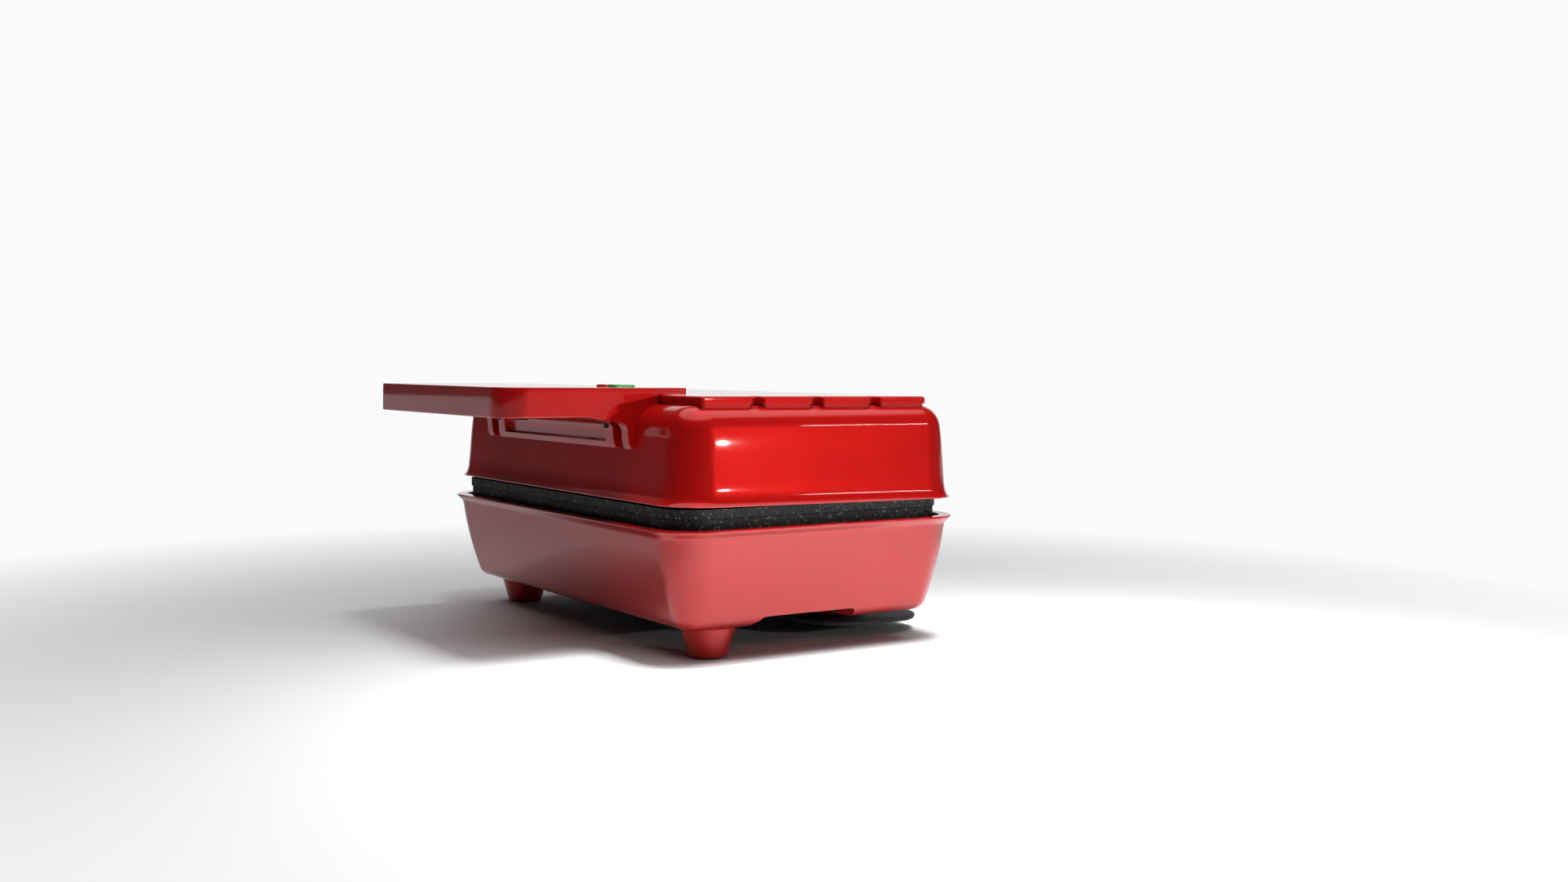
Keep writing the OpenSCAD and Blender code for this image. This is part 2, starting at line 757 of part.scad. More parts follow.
// Side view of a lid knuckle and the web that ties it to the rear wall of the lid
module knuckle_profile() {
    rear_wall = lid_rear - flare - lid_wall / 2;
    web_top = lid_z + 24;
    web_turn = hinge_z + 9;
    translate([hinge_y, hinge_z]) circle(knuckle_r);
    polygon([[hinge_y - knuckle_r, hinge_z], [hinge_y + knuckle_r, hinge_z],
        [hinge_y + knuckle_r - 1, web_turn], [rear_wall + lid_wall / 2, web_top],
        [rear_wall - lid_draft / 2, web_top], [rear_wall, lid_z + flare_h],
        [lid_rear - lid_wall / 2, lid_z + lip_edge]]);
}

module knuckles() {
    for (s = [-1, 1]) translate([s * hinge_x, 0, 0]) rotate([90, 0, 90])
        linear_extrude(knuckle_w, center = true) knuckle_profile();
}

module lamp_bores(r) {
    for (x = lens_x) translate([x, -lens_y, 0]) rod(r, holder_z, handle_top);
}

handle_screw_x = frame_x - frame_w / 2;
handle_screw_z = handle_low - head_r - 0.6;

module handle_screw_places() {
    for (s = [-1, 1]) translate([s * handle_screw_x, -ear_y, handle_screw_z]) rotate([90, 0, 0])
        children();
}

module lid_shell() {
    color(casing_red) placed() difference() {
        union() {
            tilted() {
                difference() {
                    lid_outer(0);
                    translate([0, lid_y, 0]) bowl(lid_w, lid_d, corner_r, lid_points(lid_wall));
                }
                knuckles();
            }
            for (sy = [-1, 1]) translate([0, sy * post_y, 0]) four_corners(post_x, 0)
                rod(post_r, part_z + shield_off + shield_t, lid_top - lid_wall / 2 + tilt_rise(sy * post_y));
        }
        four_corners(post_x, post_y) {
            rod(screw_r + screw_play, part_z + shield_off, lid_top + 9);
            rod(head_r + screw_play, upper_seat_z, lid_top + 9);
        }
        tilted() {
            lamp_bores(lamp_hole_r);
            handle_screw_places() rod(screw_r + screw_play, -10, 10);
        }
        translate([0, hinge_y, hinge_z]) rotate([0, 90, 0])
            cylinder(r = bush_r, h = base_w, center = true);
    }
}

module panel_notches() {
    step = (panel_front + panel_rear + notch_w) / (notch_n + 1);
    for (s = [-1, 1], i = [1:notch_n])
        translate([s * (panel_w / 2 - notch_in / 2 + 0.5), -panel_front + i * step - notch_w / 2,
            panel_top]) {
            cube([notch_in + 1, notch_w, 4 * panel_h], center = true);
            translate([-s * notch_in / 2, 0, 0]) cylinder(r = notch_w / 2, h = 4 * panel_h, center = true);
        }
}

module top_panel() {
    edge = 1.2;
    depth = panel_front + panel_rear;
    skin = 2;
    sunk = 3;
    corner = 3;
    rib_x = 12;
    rib_y = 6;
    color(casing_red) placed() tilted() difference() {
        translate([0, (panel_rear - panel_front) / 2, 0]) union() {
            rounded_plate(panel_w, depth, corner, lid_top - sunk, panel_top - edge);
            rounded_plate(panel_w - edge, depth - edge, corner, lid_top, panel_top - edge * 0.3);
            rounded_plate(panel_w - 2 * edge, depth - 2 * edge, corner, lid_top, panel_top);
        }
        translate([0, (panel_rear - panel_front) / 2, 0])
            rounded_plate(panel_w - 2 * rib_x, depth - 2 * rib_y, corner, lid_top - sunk - cut,
                panel_top - skin);
        lid_outer(seam);
        panel_notches();
        lamp_bores(lamp_hole_r);
    }
}

// ---------- the handle ----------

// Side view of an ear: it leaves the underside of the handle and turns down the front of the lid
function ear_points() = let (y = -ear_y - 0.6, turn_z = handle_low - ear_dip - ear_fillet) concat(
    [[y - ear_slope, handle_low + 0.01]],
    [for (a = [90, 67, 45, 22, 0])
        [y - ear_fillet * (1 - cos(a)) - ear_lean, turn_z + ear_fillet * sin(a)]],
    [[y, ear_low], [y + 6, ear_low], [y + 12, handle_low], [y + 12, handle_low + 1],
        [y - ear_slope, handle_low + 1]]);

module ear_body(x0, x1) {
    translate([x0, 0, 0]) rotate([90, 0, 90]) linear_extrude(x1 - x0) polygon(ear_points());
}

module handle_outline(w, front, rear, r) {
    translate([-w / 2, -front + r]) square([w, front - rear - r]);
    translate([-w / 2 + r, -front]) square([w - 2 * r, 2 * r]);
    for (s = [-1, 1]) translate([s * (w / 2 - r), -front + r]) circle(r);
}

module handle_slab(z0, z1, shrink, rear) {
    translate([0, 0, z0]) linear_extrude(z1 - z0)
        handle_outline(handle_w - 2 * shrink, handle_front - shrink, rear, handle_r - shrink);
}

handle_root = lid_front - flare - lid_draft - lid_r;

module handle_shell() {
    color(casing_red) placed() tilted() difference() {
        union() {
            handle_slab(handle_low, handle_top - 0.6, 0, handle_root);
            handle_slab(handle_top - handle_wall, handle_top - 0.6, 0, handle_rear);
            handle_slab(handle_top - 1, handle_top, 0.6, handle_rear);
            both_sides() ear_body(handle_w / 2 - ear_w, handle_w / 2);
        }
        handle_slab(handle_low - cut, handle_top - handle_wall, handle_wall, grip_rear);
        // room for the under-cover's apron
        translate([-frame_x - snug, -ear_y - ear_slope - cut, ear_low - cut])
            cube([2 * (frame_x + snug), ear_y + ear_slope - handle_root + 2 * cut,
                handle_low + cover_t + snug - ear_low + cut]);
        lid_outer(seam);
        translate([-panel_w / 2 - cut, -panel_front - snug, ear_low])
            cube([panel_w + 2 * cut, panel_front, panel_top + seam - ear_low]);
        for (x = lens_x) translate([x, -lens_y, 0])
            rounded_plate(lens_w, lens_d, 2, panel_top, handle_top + cut);
    }
    handle_bosses();
}

handle_boss_x = handle_w / 4;
handle_boss_y = (handle_front + grip_rear) / 2;

module handle_bosses() {
    color(casing_red) placed() tilted() for (s = [-1, 1])
        translate([s * handle_boss_x, -handle_boss_y, 0]) difference() {
            rod(boss_r - 1, handle_low + cover_t, handle_top - handle_wall + 0.01);
            rod(screw_r + pilot, handle_low, handle_top - handle_wall);
        }
}

module handle_cover() {
    frame_low = 2.7;
    frame_deep = 3;
    color(casing_red) placed() tilted() difference() {
        union() {
            handle_slab(handle_low, handle_low + cover_t, handle_wall + snug / 2,
                grip_rear + snug / 2);
            ear_body(-frame_x, frame_x);
        }
        // sunk field inside the frame of the apron
        difference() {
            translate([0, -0.01, 0]) intersection() {
                ear_body(-frame_x + frame_w, frame_x - frame_w);
                translate([-frame_x, -lid_front * 2, ear_low + frame_low])
                    cube([2 * frame_x, lid_front * 2, ear_drop]);
            }
            translate([0, frame_deep, 0]) ear_body(-frame_x, frame_x);
        }
        lid_outer(seam);
        handle_screw_places() rod(screw_r + pilot, -8, 6);
        for (s = [-1, 1]) translate([s * handle_boss_x, -handle_boss_y, 0])
            rod(screw_r + screw_play, handle_low - cut, handle_low + cover_t + cut);
    }
}

module handle_screws() {
    head_seat = lid_wall + flare + lid_draft;
    color(steel) placed() tilted() handle_screw_places() translate([0, 0, -head_seat])
        screw(head_seat + 4);
}

module handle_cover_screws() {
    color(steel) placed() tilted() for (s = [-1, 1])
        translate([s * handle_boss_x, -handle_boss_y, handle_low]) screw(cover_t + 5);
}

// ---------- lamps ----------

module lens(i, paint) {
    color(paint) placed() tilted() translate([lens_x[i], -lens_y, 0]) {
        rounded_plate(lens_w - 2 * seam, lens_d - 2 * seam, 2, panel_top + seam, handle_top + lens_up * 0.5);
        rounded_plate(lens_w - 0.8, lens_d - 0.8, 1.8, handle_top, handle_top + lens_up);
    }
}

module red_lens() { lens(0, [0.7, 0.02, 0.02]); }
module green_lens() { lens(1, [0.02, 0.6, 0.15]); }

module lamp(i) {
    color("white") placed() tilted() translate([lens_x[i], -lens_y, 0]) {
        rod(lamp_r, holder_z + 3, panel_top - lamp_r - seam);
        translate([0, 0, panel_top - lamp_r - seam]) sphere(lamp_r);
    }
}

module red_lamp() { lamp(0); }
module green_lamp() { lamp(1); }

module lamp_holder() {
    mid = (lens_x[0] + lens_x[1]) / 2;
    span = lens_x[1] - lens_x[0];
    color(black) placed() tilted() difference() {
        translate([mid - span / 2 - 5, -lens_y - 5, holder_z]) cube([span + 10, 10, 6]);
        for (x = lens_x) translate([x, -lens_y, 0]) rod(lamp_r + seam, holder_z + 3, holder_z + 7);
    }
}

module upper_thermal_cutout() {
    low = part_z + shield_off + shield_t;
    top = low + 5;
    color(ceramic) placed() {
        rod(7, low, top);
        tags(top + tag_drop / 2 - seam);
    }
}

base_shell();
bottom_cover();
front_foot_left();
front_foot_right();
front_foot_pads();
rear_foot_left();
rear_foot_right();
cord_wrap_drum();
cord_wrap_plate();
cord_gland();
lower_plate();
lower_heater();
lower_heater_saddles();
lower_heat_shield();
thermostat();
thermal_fuse();
terminal_block();
base_leads();
foot_screws();
cover_screws();
cord_wrap_screws();
lower_plate_screws();
hinge_pin_left();
hinge_pin_right();
lid_shell();
top_panel();
handle_shell();
handle_cover();
upper_plate();
upper_heater();
upper_heater_saddles();
upper_heat_shield();
upper_thermal_cutout();
lamp_holder();
red_lamp();
green_lamp();
red_lens();
green_lens();
upper_plate_screws();
handle_screws();
handle_cover_screws();
hinge_bushes();
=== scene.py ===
"""Looks of a six-ring donut maker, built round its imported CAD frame.

The casing, top panel, handle and feet are rebuilt as smooth mouldings, the baking plates get their
speckled coating, and every CAD piece that stays gets a finish of its own.
"""

import logging
import math
from dataclasses import dataclass, field
from enum import Enum
from typing import Callable, Iterable, Sequence

import bmesh
import bpy
from mathutils import Matrix, Vector


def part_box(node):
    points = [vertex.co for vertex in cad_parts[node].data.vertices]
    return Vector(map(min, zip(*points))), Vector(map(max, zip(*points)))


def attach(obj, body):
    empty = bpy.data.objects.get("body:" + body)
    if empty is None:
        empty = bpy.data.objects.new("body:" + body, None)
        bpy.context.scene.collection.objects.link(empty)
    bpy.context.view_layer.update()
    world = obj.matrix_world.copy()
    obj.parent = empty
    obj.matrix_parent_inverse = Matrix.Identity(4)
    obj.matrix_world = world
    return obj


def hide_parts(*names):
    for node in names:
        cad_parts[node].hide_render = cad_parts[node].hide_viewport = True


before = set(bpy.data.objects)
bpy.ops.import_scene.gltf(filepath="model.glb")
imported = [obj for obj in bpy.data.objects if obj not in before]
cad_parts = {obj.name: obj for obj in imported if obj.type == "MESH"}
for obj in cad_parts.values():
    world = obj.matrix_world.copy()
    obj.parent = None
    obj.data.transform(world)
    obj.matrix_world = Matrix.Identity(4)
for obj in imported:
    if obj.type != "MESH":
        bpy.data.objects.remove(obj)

LOG = logging.getLogger("donut_maker")
MM = 0.001
Point = tuple[float, float]
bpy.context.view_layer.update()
SOCKET_KINDS = ("NodeSocketFloat", "NodeSocketColor")
MIX_SOCKETS = {"RGBA": (0, 6, 7, 2), "FLOAT": (0, 2, 3, 0)}
SHARP_ANGLE = math.radians(40.0)
ROOM_COLOUR = (0.985, 0.99, 1.0, 1.0)
ROOM_GLOW = 0.97


class Body(Enum):
    """The CAD bodies that pieces ride on."""

    BASE = "base"
    LID = "lid"


@dataclass(frozen=True)
class Datum:
    """Where the shared frame puts the middle of the base and the hinge.

    All sizes in this file are in millimetres about the middle of the base, as its maker would
    dimension them.
    """

    hinge_back: float = 84.6
    hinge_height: float = 63.0
    hinge_side: float = 62.0
    hinge_radius: float = 6.4
    tilt: float = 0.7

    def shift(self) -> float:
        """Distance in Y from the frame's origin to the middle of the base, in millimetres."""
        low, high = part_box("hinge_pin_left")
        return (low.y + high.y) / 2 / MM - self.hinge_back

    def base_matrix(self) -> Matrix:
        """Matrix that takes base sizes to the frame."""
        return Matrix.Scale(MM, 4) @ Matrix.Translation((0, self.shift(), 0))

    def lid_matrix(self) -> Matrix:
        """Matrix that takes lid sizes to the frame, with the closed lid's slight tilt."""
        hinge = Vector((0, self.hinge_back, self.hinge_height))
        tilt = Matrix.Rotation(-math.radians(self.tilt), 4, "X")
        return self.base_matrix() @ Matrix.Translation(hinge) @ tilt @ Matrix.Translation(-hinge)


DATUM = Datum()


# ---------------------------------------------------------------- node groups


class ShaderSheet:
    """Adds and links the nodes of one shader tree, from left to right."""

    def __init__(self, tree: bpy.types.NodeTree) -> None:
        """Starts on a tree.

        Args:
            tree: the tree that gets the nodes.
        """
        self.tree = tree
        self.column = 0

    def add(self, kind: str, **settings: object) -> bpy.types.Node:
        """Adds a node.

        Args:
            kind: the node's type name, without the leading ShaderNode.
            settings: attributes of the node to set.

        Returns:
            The new node.
        """
        node = self.tree.nodes.new("ShaderNode" + kind if not kind.startswith("Node") else kind)
        node.location = (self.column * 190, -40 * (self.column % 5))
        self.column += 1
        for name, value in settings.items():
            setattr(node, name, value)
        return node

    def join(self, value: object, socket: bpy.types.NodeSocket) -> None:
        """Links a value to an input, or sets it there.

        Args:
            value: an output socket or a plain value.
            socket: the input that gets it.
        """
        if isinstance(value, bpy.types.NodeSocket):
            self.tree.links.new(value, socket)
        else:
            socket.default_value = value

    def feed(self, node: bpy.types.Node, **values: object) -> bpy.types.Node:
        """Sets or links a node's inputs by name.

        Args:
            node: the node whose inputs are fed.
            values: input name, with underscores for spaces, and a value or an output socket.

        Returns:
            The same node.
        """
        for name, value in values.items():
            self.join(value, node.inputs[name.replace("_", " ")])
        return node

    def math(self, operation: str, first: object, second: object = 0.0) -> bpy.types.NodeSocket:
        """Adds a Math node.

        Args:
            operation: its operation.
            first: first value or socket.
            second: second value or socket.

        Returns:
            The node's output.
        """
        node = self.add("Math", operation=operation)
        for socket, value in zip(node.inputs, (first, second)):
            self.join(value, socket)
        return node.outputs[0]

    def spread(self, value: bpy.types.NodeSocket, low: object, high: object, start: float = 0.0,
               end: float = 1.0) -> bpy.types.NodeSocket:
        """Maps a value from one span to another.

        Args:
            value: the socket to map.
            low: result at the start, a number or a socket.
            high: result at the end, a number or a socket.
            start: value that gives low.
            end: value that gives high.

        Returns:
            The mapped value.
        """
        node = self.add("MapRange", clamp=True)
        self.feed(node, Value=value, From_Min=start, From_Max=end, To_Min=low, To_Max=high)
        return node.outputs["Result"]

    def blend(self, share: object, first: object, second: object, kind: str = "RGBA"
              ) -> bpy.types.NodeSocket:
        """Mixes two colours or two numbers.

        Args:
            share: share of the second one.
            first: first value, or a socket.
            second: second value, or a socket.
            kind: "RGBA" for colours or "FLOAT" for numbers.

        Returns:
            The mixed value.
        """
        node = self.add("Mix", data_type=kind)
        *places, result = MIX_SOCKETS[kind]
        for place, value in zip(places, (share, first, second)):
            self.join(value, node.inputs[place])
        return node.outputs[result]

    def layer(self, share: object, first: bpy.types.Node, second: bpy.types.Node) -> bpy.types.Node:
        """Mixes two shaders.

        Args:
            share: share of the second one.
            first: node of the first shader.
            second: node of the second shader.

        Returns:
            The mixing node.
        """
        node = self.add("MixShader")
        for socket, value in zip(node.inputs, (share, first.outputs[0], second.outputs[0])):
            self.join(value, socket)
        return node


class GroupKind(Enum):
    """The effects that more than one finish uses."""

    MOULD_TONE = "mould_tone"
    SATIN_PATCHES = "satin_patches"
    FINE_GRAIN = "fine_grain"
    FLECKS = "flecks"
    BRUSHING = "brushing"


class GroupShelf:
    """Builds each shared node group once and hands it out."""

    def __init__(self) -> None:
        """Starts with no groups built."""
        self.built: dict[GroupKind, bpy.types.NodeTree] = {}
        self.makers: dict[GroupKind, Callable[[], bpy.types.NodeTree]] = {
            GroupKind.MOULD_TONE: self.mould_tone,
            GroupKind.SATIN_PATCHES: self.satin_patches,
            GroupKind.FINE_GRAIN: self.fine_grain,
            GroupKind.FLECKS: self.flecks,
            GroupKind.BRUSHING: self.brushing,
        }

    def get(self, kind: GroupKind) -> bpy.types.NodeTree:
        """Returns a group, and builds it the first time.

        Args:
            kind: which group.

        Returns:
            The group's tree.
        """
        if kind not in self.built:
            self.built[kind] = self.makers[kind]()
        return self.built[kind]

    def start(self, kind: GroupKind, inputs: dict[str, object], outputs: Sequence[str]
              ) -> tuple[ShaderSheet, bpy.types.Node, bpy.types.Node]:
        """Starts a group with its sockets.

        Args:
            kind: which group.
            inputs: input names with their default values; four numbers make a colour.
            outputs: output names; one that ends in colour is a colour.

        Returns:
            The sheet, the group's input node and its output node.
        """
        tree = bpy.data.node_groups.new(kind.value, "ShaderNodeTree")
        for name, value in inputs.items():
            kind_in = SOCKET_KINDS[isinstance(value, tuple)]
            made = tree.interface.new_socket(name, in_out="INPUT", socket_type=kind_in)
            made.default_value = value
        for name in outputs:
            kind_out = SOCKET_KINDS[name.endswith("colour")]
            tree.interface.new_socket(name, in_out="OUTPUT", socket_type=kind_out)
        sheet = ShaderSheet(tree)
        return sheet, sheet.add("NodeGroupInput"), sheet.add("NodeGroupOutput")

    def noise(self, sheet: ShaderSheet, scale: object, detail: float, rough: float = 0.5
              ) -> bpy.types.NodeSocket:
        """Adds noise in the piece's own space.

        Args:
            sheet: the sheet to add to.
            scale: scale per metre, a number or a socket.
            detail: number of octaves.
            rough: share of each finer octave.

        Returns:
            The noise value.
        """
        place = sheet.add("TexCoord")
        node = sheet.add("TexNoise", noise_dimensions="3D")
        sheet.feed(node, Vector=place.outputs["Object"], Scale=scale, Detail=detail,
                   Roughness=rough)
        return node.outputs["Fac"]

    def mould_tone(self) -> bpy.types.NodeTree:
        """Slow changes of tone through a moulded colour, with a few finer streaks."""
        sheet, source, sink = self.start(
            GroupKind.MOULD_TONE,
            {"Base colour": (0.5, 0.5, 0.5, 1.0), "Deep colour": (0.3, 0.3, 0.3, 1.0),
             "Amount": 0.5, "Scale": 12.0}, ["Tone colour"])
        broad = self.noise(sheet, source.outputs["Scale"], 3.0)
        fine = self.noise(sheet, sheet.math("MULTIPLY", source.outputs["Scale"], 18.0), 2.0)
        both = sheet.math("ADD", sheet.math("MULTIPLY", broad, 0.75),
                          sheet.math("MULTIPLY", fine, 0.25))
        share = sheet.spread(both, 0.0, source.outputs["Amount"], 0.38, 0.64)
        colour = sheet.blend(share, source.outputs["Base colour"], source.outputs["Deep colour"])
        sheet.join(colour, sink.inputs["Tone colour"])
        return sheet.tree

    def satin_patches(self) -> bpy.types.NodeTree:
        """Roughness that wanders between two values, as on a handled gloss moulding."""
        sheet, source, sink = self.start(
            GroupKind.SATIN_PATCHES, {"Low": 0.1, "High": 0.3, "Scale": 20.0}, ["Roughness"])
        patches = self.noise(sheet, source.outputs["Scale"], 4.0, 0.6)
        value = sheet.spread(patches, source.outputs["Low"], source.outputs["High"], 0.35, 0.68)
        sheet.join(value, sink.inputs["Roughness"])
        return sheet.tree

    def fine_grain(self) -> bpy.types.NodeTree:
        """Height of a fine moulded or cast grain, over a slower waviness."""
        sheet, source, sink = self.start(
            GroupKind.FINE_GRAIN, {"Grain scale": 900.0, "Wave scale": 60.0, "Wave share": 0.5},
            ["Height"])
        grain = self.noise(sheet, source.outputs["Grain scale"], 2.0)
        wave = self.noise(sheet, source.outputs["Wave scale"], 1.0)
        height = sheet.blend(source.outputs["Wave share"], grain, wave, "FLOAT")
        sheet.join(height, sink.inputs["Height"])
        return sheet.tree

    def flecks(self) -> bpy.types.NodeTree:
        """Pale flecks strewn through a dark coating, as a mask and a height."""
        sheet, source, sink = self.start(
            GroupKind.FLECKS, {"Scale": 700.0, "Share": 0.3, "Softness": 0.08}, ["Mask", "Height"])
        place = sheet.add("TexCoord")
        cells = sheet.add("TexVoronoi", feature="F1", voronoi_dimensions="3D")
        sheet.feed(cells, Vector=place.outputs["Object"], Scale=source.outputs["Scale"])
        pick = sheet.add("SeparateColor")
        sheet.feed(pick, Color=cells.outputs["Color"])
        chosen = sheet.math("LESS_THAN", pick.outputs[0], source.outputs["Share"])
        round_dot = sheet.spread(cells.outputs["Distance"], 1.0, 0.0, 0.25, 0.55)
        mask = sheet.math("MULTIPLY", chosen, round_dot)
        dust = self.noise(sheet, sheet.math("MULTIPLY", source.outputs["Scale"], 1.7), 2.0)
        dusting = sheet.spread(dust, 0.0, 1.0, 0.56, 0.74)
        total = sheet.math("MAXIMUM", mask, sheet.math("MULTIPLY", dusting, 0.6))
        height = sheet.math("ADD", sheet.math("MULTIPLY", total, 0.5),
                            sheet.math("MULTIPLY", dust, 0.5))
        sheet.join(total, sink.inputs["Mask"])
        sheet.join(height, sink.inputs["Height"])
        return sheet.tree

    def brushing(self) -> bpy.types.NodeTree:
        """Fine lines along X, as rolled and brushed metal has, as a mask and a height."""
        sheet, source, sink = self.start(
            GroupKind.BRUSHING, {"Lines": 900.0, "Stretch": 0.03}, ["Mask", "Height"])
        place = sheet.add("TexCoord")
        stretch = sheet.add("CombineXYZ")
        sheet.feed(stretch, X=source.outputs["Stretch"], Y=1.0, Z=1.0)
        scaled = sheet.add("VectorMath", operation="MULTIPLY")
        sheet.join(place.outputs["Object"], scaled.inputs[0])
        sheet.join(stretch.outputs[0], scaled.inputs[1])
        node = sheet.add("TexNoise", noise_dimensions="3D")
        sheet.feed(node, Vector=scaled.outputs[0], Scale=source.outputs["Lines"], Detail=3.0)
        sheet.join(sheet.spread(node.outputs["Fac"], 0.0, 1.0, 0.35, 0.65), sink.inputs["Mask"])
        sheet.join(node.outputs["Fac"], sink.inputs["Height"])
        return sheet.tree


SHELF = GroupShelf()


# ---------------------------------------------------------------- finishes


class FinishBase:
    """Something that can be put on a piece as a material."""

    name: str = "finish"

    def shade(self, sheet: ShaderSheet, surface: bpy.types.Node) -> None:
        """Feeds the material's Principled node.

        Args:
            sheet: the material's sheet.
            surface: its Principled node.
        """
        raise NotImplementedError

    def material(self) -> bpy.types.Material:
        """Returns the material, and makes it the first time."""
        made = bpy.data.materials.get(self.name)
        if made is None:
            made = bpy.data.materials.new(self.name)
            made.use_nodes = True
            made.node_tree.nodes.clear()
            sheet = ShaderSheet(made.node_tree)
            surface = sheet.add("BsdfPrincipled")
            output = sheet.add("OutputMaterial")
            made.node_tree.links.new(surface.outputs[0], output.inputs[0])
            self.shade(sheet, surface)
        return made

    @staticmethod
    def group(sheet: ShaderSheet, kind: GroupKind, **values: object) -> bpy.types.Node:
        """Places a shared group in the material.

        Args:
            sheet: the material's sheet.
            kind: which group.
            values: the group's inputs, with underscores for spaces.

        Returns:
            The group node.
        """
        node = sheet.add("Group", node_tree=SHELF.get(kind))
        return sheet.feed(node, **values)

    @staticmethod
    def relief(sheet: ShaderSheet, surface: bpy.types.Node, height: bpy.types.NodeSocket,
               depth: float) -> None:
        """Puts a height on the surface as a bump.

        Args:
            sheet: the material's sheet.
            surface: its Principled node.
            height: height from 0 to 1.
            depth: real depth of the relief, in millimetres.
        """
        bump = sheet.add("Bump")
        sheet.feed(bump, Height=height, Distance=depth * MM, Strength=1.0)
        sheet.feed(surface, Normal=bump.outputs["Normal"])

    def moulded(self, sheet: ShaderSheet, surface: bpy.types.Node, tone: Point,
                patches: tuple[float, float, float], grain: tuple[float, float, float],
                depth: float) -> bpy.types.NodeSocket:
        """Feeds the tone, the roughness and the grain that every moulding has.

        Args:
            sheet: the material's sheet.
            surface: its Principled node.
            tone: amount and scale of the deep colour.
            patches: lowest and highest roughness, and the scale of its patches.
            grain: scale of the grain, scale of the waves and share of the waves.
            depth: depth of the grain, in millimetres.

        Returns:
            The tone's colour.
        """
        colour = self.group(sheet, GroupKind.MOULD_TONE, Base_colour=(*self.colour, 1.0),
                            Deep_colour=(*self.deep, 1.0), Amount=tone[0], Scale=tone[1])
        rough = self.group(sheet, GroupKind.SATIN_PATCHES, Low=patches[0], High=patches[1],
                           Scale=patches[2])
        relief = self.group(sheet, GroupKind.FINE_GRAIN, Grain_scale=grain[0],
                            Wave_scale=grain[1], Wave_share=grain[2])
        sheet.feed(surface, Base_Color=colour.outputs[0], Roughness=rough.outputs[0])
        self.relief(sheet, surface, relief.outputs["Height"], depth)
        return colour.outputs[0]


@dataclass(frozen=True)
class GlossMoulding(FinishBase):
    """Injection-moulded casing with a clear, hard gloss over a softer body sheen."""

    name: str = "casing_gloss"
    colour: tuple[float, float, float] = (0.39, 0.0045, 0.004)
    deep: tuple[float, float, float] = (0.34, 0.003, 0.003)
    sheen_tint: tuple[float, float, float] = (0.9, 0.04, 0.02)
    metal_share: float = 0.33
    low: float = 0.32
    high: float = 0.36
    gloss: float = 1.0
    gloss_rough: float = 0.035
    wave_mm: float = 0.003

    def shade(self, sheet: ShaderSheet, surface: bpy.types.Node) -> None:
        """Feeds the tone, the two glosses and a faint waviness."""
        self.moulded(sheet, surface, (0.6, 14.0), (self.low, self.high, 30.0),
                     (1500.0, 90.0, 0.85), self.wave_mm)
        sheet.feed(surface, IOR=1.49, Metallic=self.metal_share, Coat_Weight=self.gloss,
                   Coat_Roughness=self.gloss_rough, Coat_IOR=1.5, Specular_IOR_Level=0.75,
                   Specular_Tint=(*self.sheen_tint, 1.0))


@dataclass(frozen=True)
class MattMoulding(FinishBase):
    """Plain moulding with a fine spark-eroded grain, for the dark and the small pieces."""

    name: str = "matt_moulding"
    colour: tuple[float, float, float] = (0.012, 0.012, 0.014)
    deep: tuple[float, float, float] = (0.006, 0.006, 0.008)
    low: float = 0.38
    high: float = 0.55
    grain_mm: float = 0.03
    grain_scale: float = 1400.0

    def shade(self, sheet: ShaderSheet, surface: bpy.types.Node) -> None:
        """Feeds the tone, the roughness and the grain."""
        self.moulded(sheet, surface, (0.8, 25.0), (self.low, self.high, 45.0),
                     (self.grain_scale, 120.0, 0.2), self.grain_mm)


@dataclass(frozen=True)
class SpeckledCoating(FinishBase):
    """Black non-stick coating with pale mineral flecks and a slightly pebbled face."""

    name: str = "non_stick_speckle"
    colour: tuple[float, float, float] = (0.012, 0.0125, 0.0135)
    fleck: tuple[float, float, float] = (0.16, 0.165, 0.17)
    scale: float = 850.0
    share: float = 0.14

    def shade(self, sheet: ShaderSheet, surface: bpy.types.Node) -> None:
        """Feeds the flecks to the colour, the roughness and the relief."""
        flecks = self.group(sheet, GroupKind.FLECKS, Scale=self.scale, Share=self.share)
        patches = self.group(sheet, GroupKind.SATIN_PATCHES, Low=0.5, High=0.62, Scale=60.0)
        colour = sheet.blend(flecks.outputs["Mask"], (*self.colour, 1.0), (*self.fleck, 1.0))
        rough = sheet.math("SUBTRACT", patches.outputs[0],
                           sheet.math("MULTIPLY", flecks.outputs["Mask"], 0.12))
        sheet.feed(surface, Base_Color=colour, Roughness=rough, Specular_IOR_Level=0.25)
        self.relief(sheet, surface, flecks.outputs["Height"], 0.06)


@dataclass(frozen=True)
class Metal(FinishBase):
    """Brushed, rolled or turned metal."""

    name: str = "metal"
    colour: tuple[float, float, float] = (0.62, 0.61, 0.59)
    dull: tuple[float, float, float] = (0.45, 0.44, 0.43)
    low: float = 0.25
    high: float = 0.42
    lines: float = 900.0
    stretch: float = 0.03

    def shade(self, sheet: ShaderSheet, surface: bpy.types.Node) -> None:
        """Feeds the brushing to the colour, the roughness and the relief."""
        brushing = self.group(sheet, GroupKind.BRUSHING, Lines=self.lines, Stretch=self.stretch)
        colour = sheet.blend(brushing.outputs["Mask"], (*self.colour, 1.0), (*self.dull, 1.0))
        rough = sheet.spread(brushing.outputs["Mask"], self.low, self.high)
        sheet.feed(surface, Base_Color=colour, Roughness=rough, Metallic=1.0)
        self.relief(sheet, surface, brushing.outputs["Height"], 0.02)


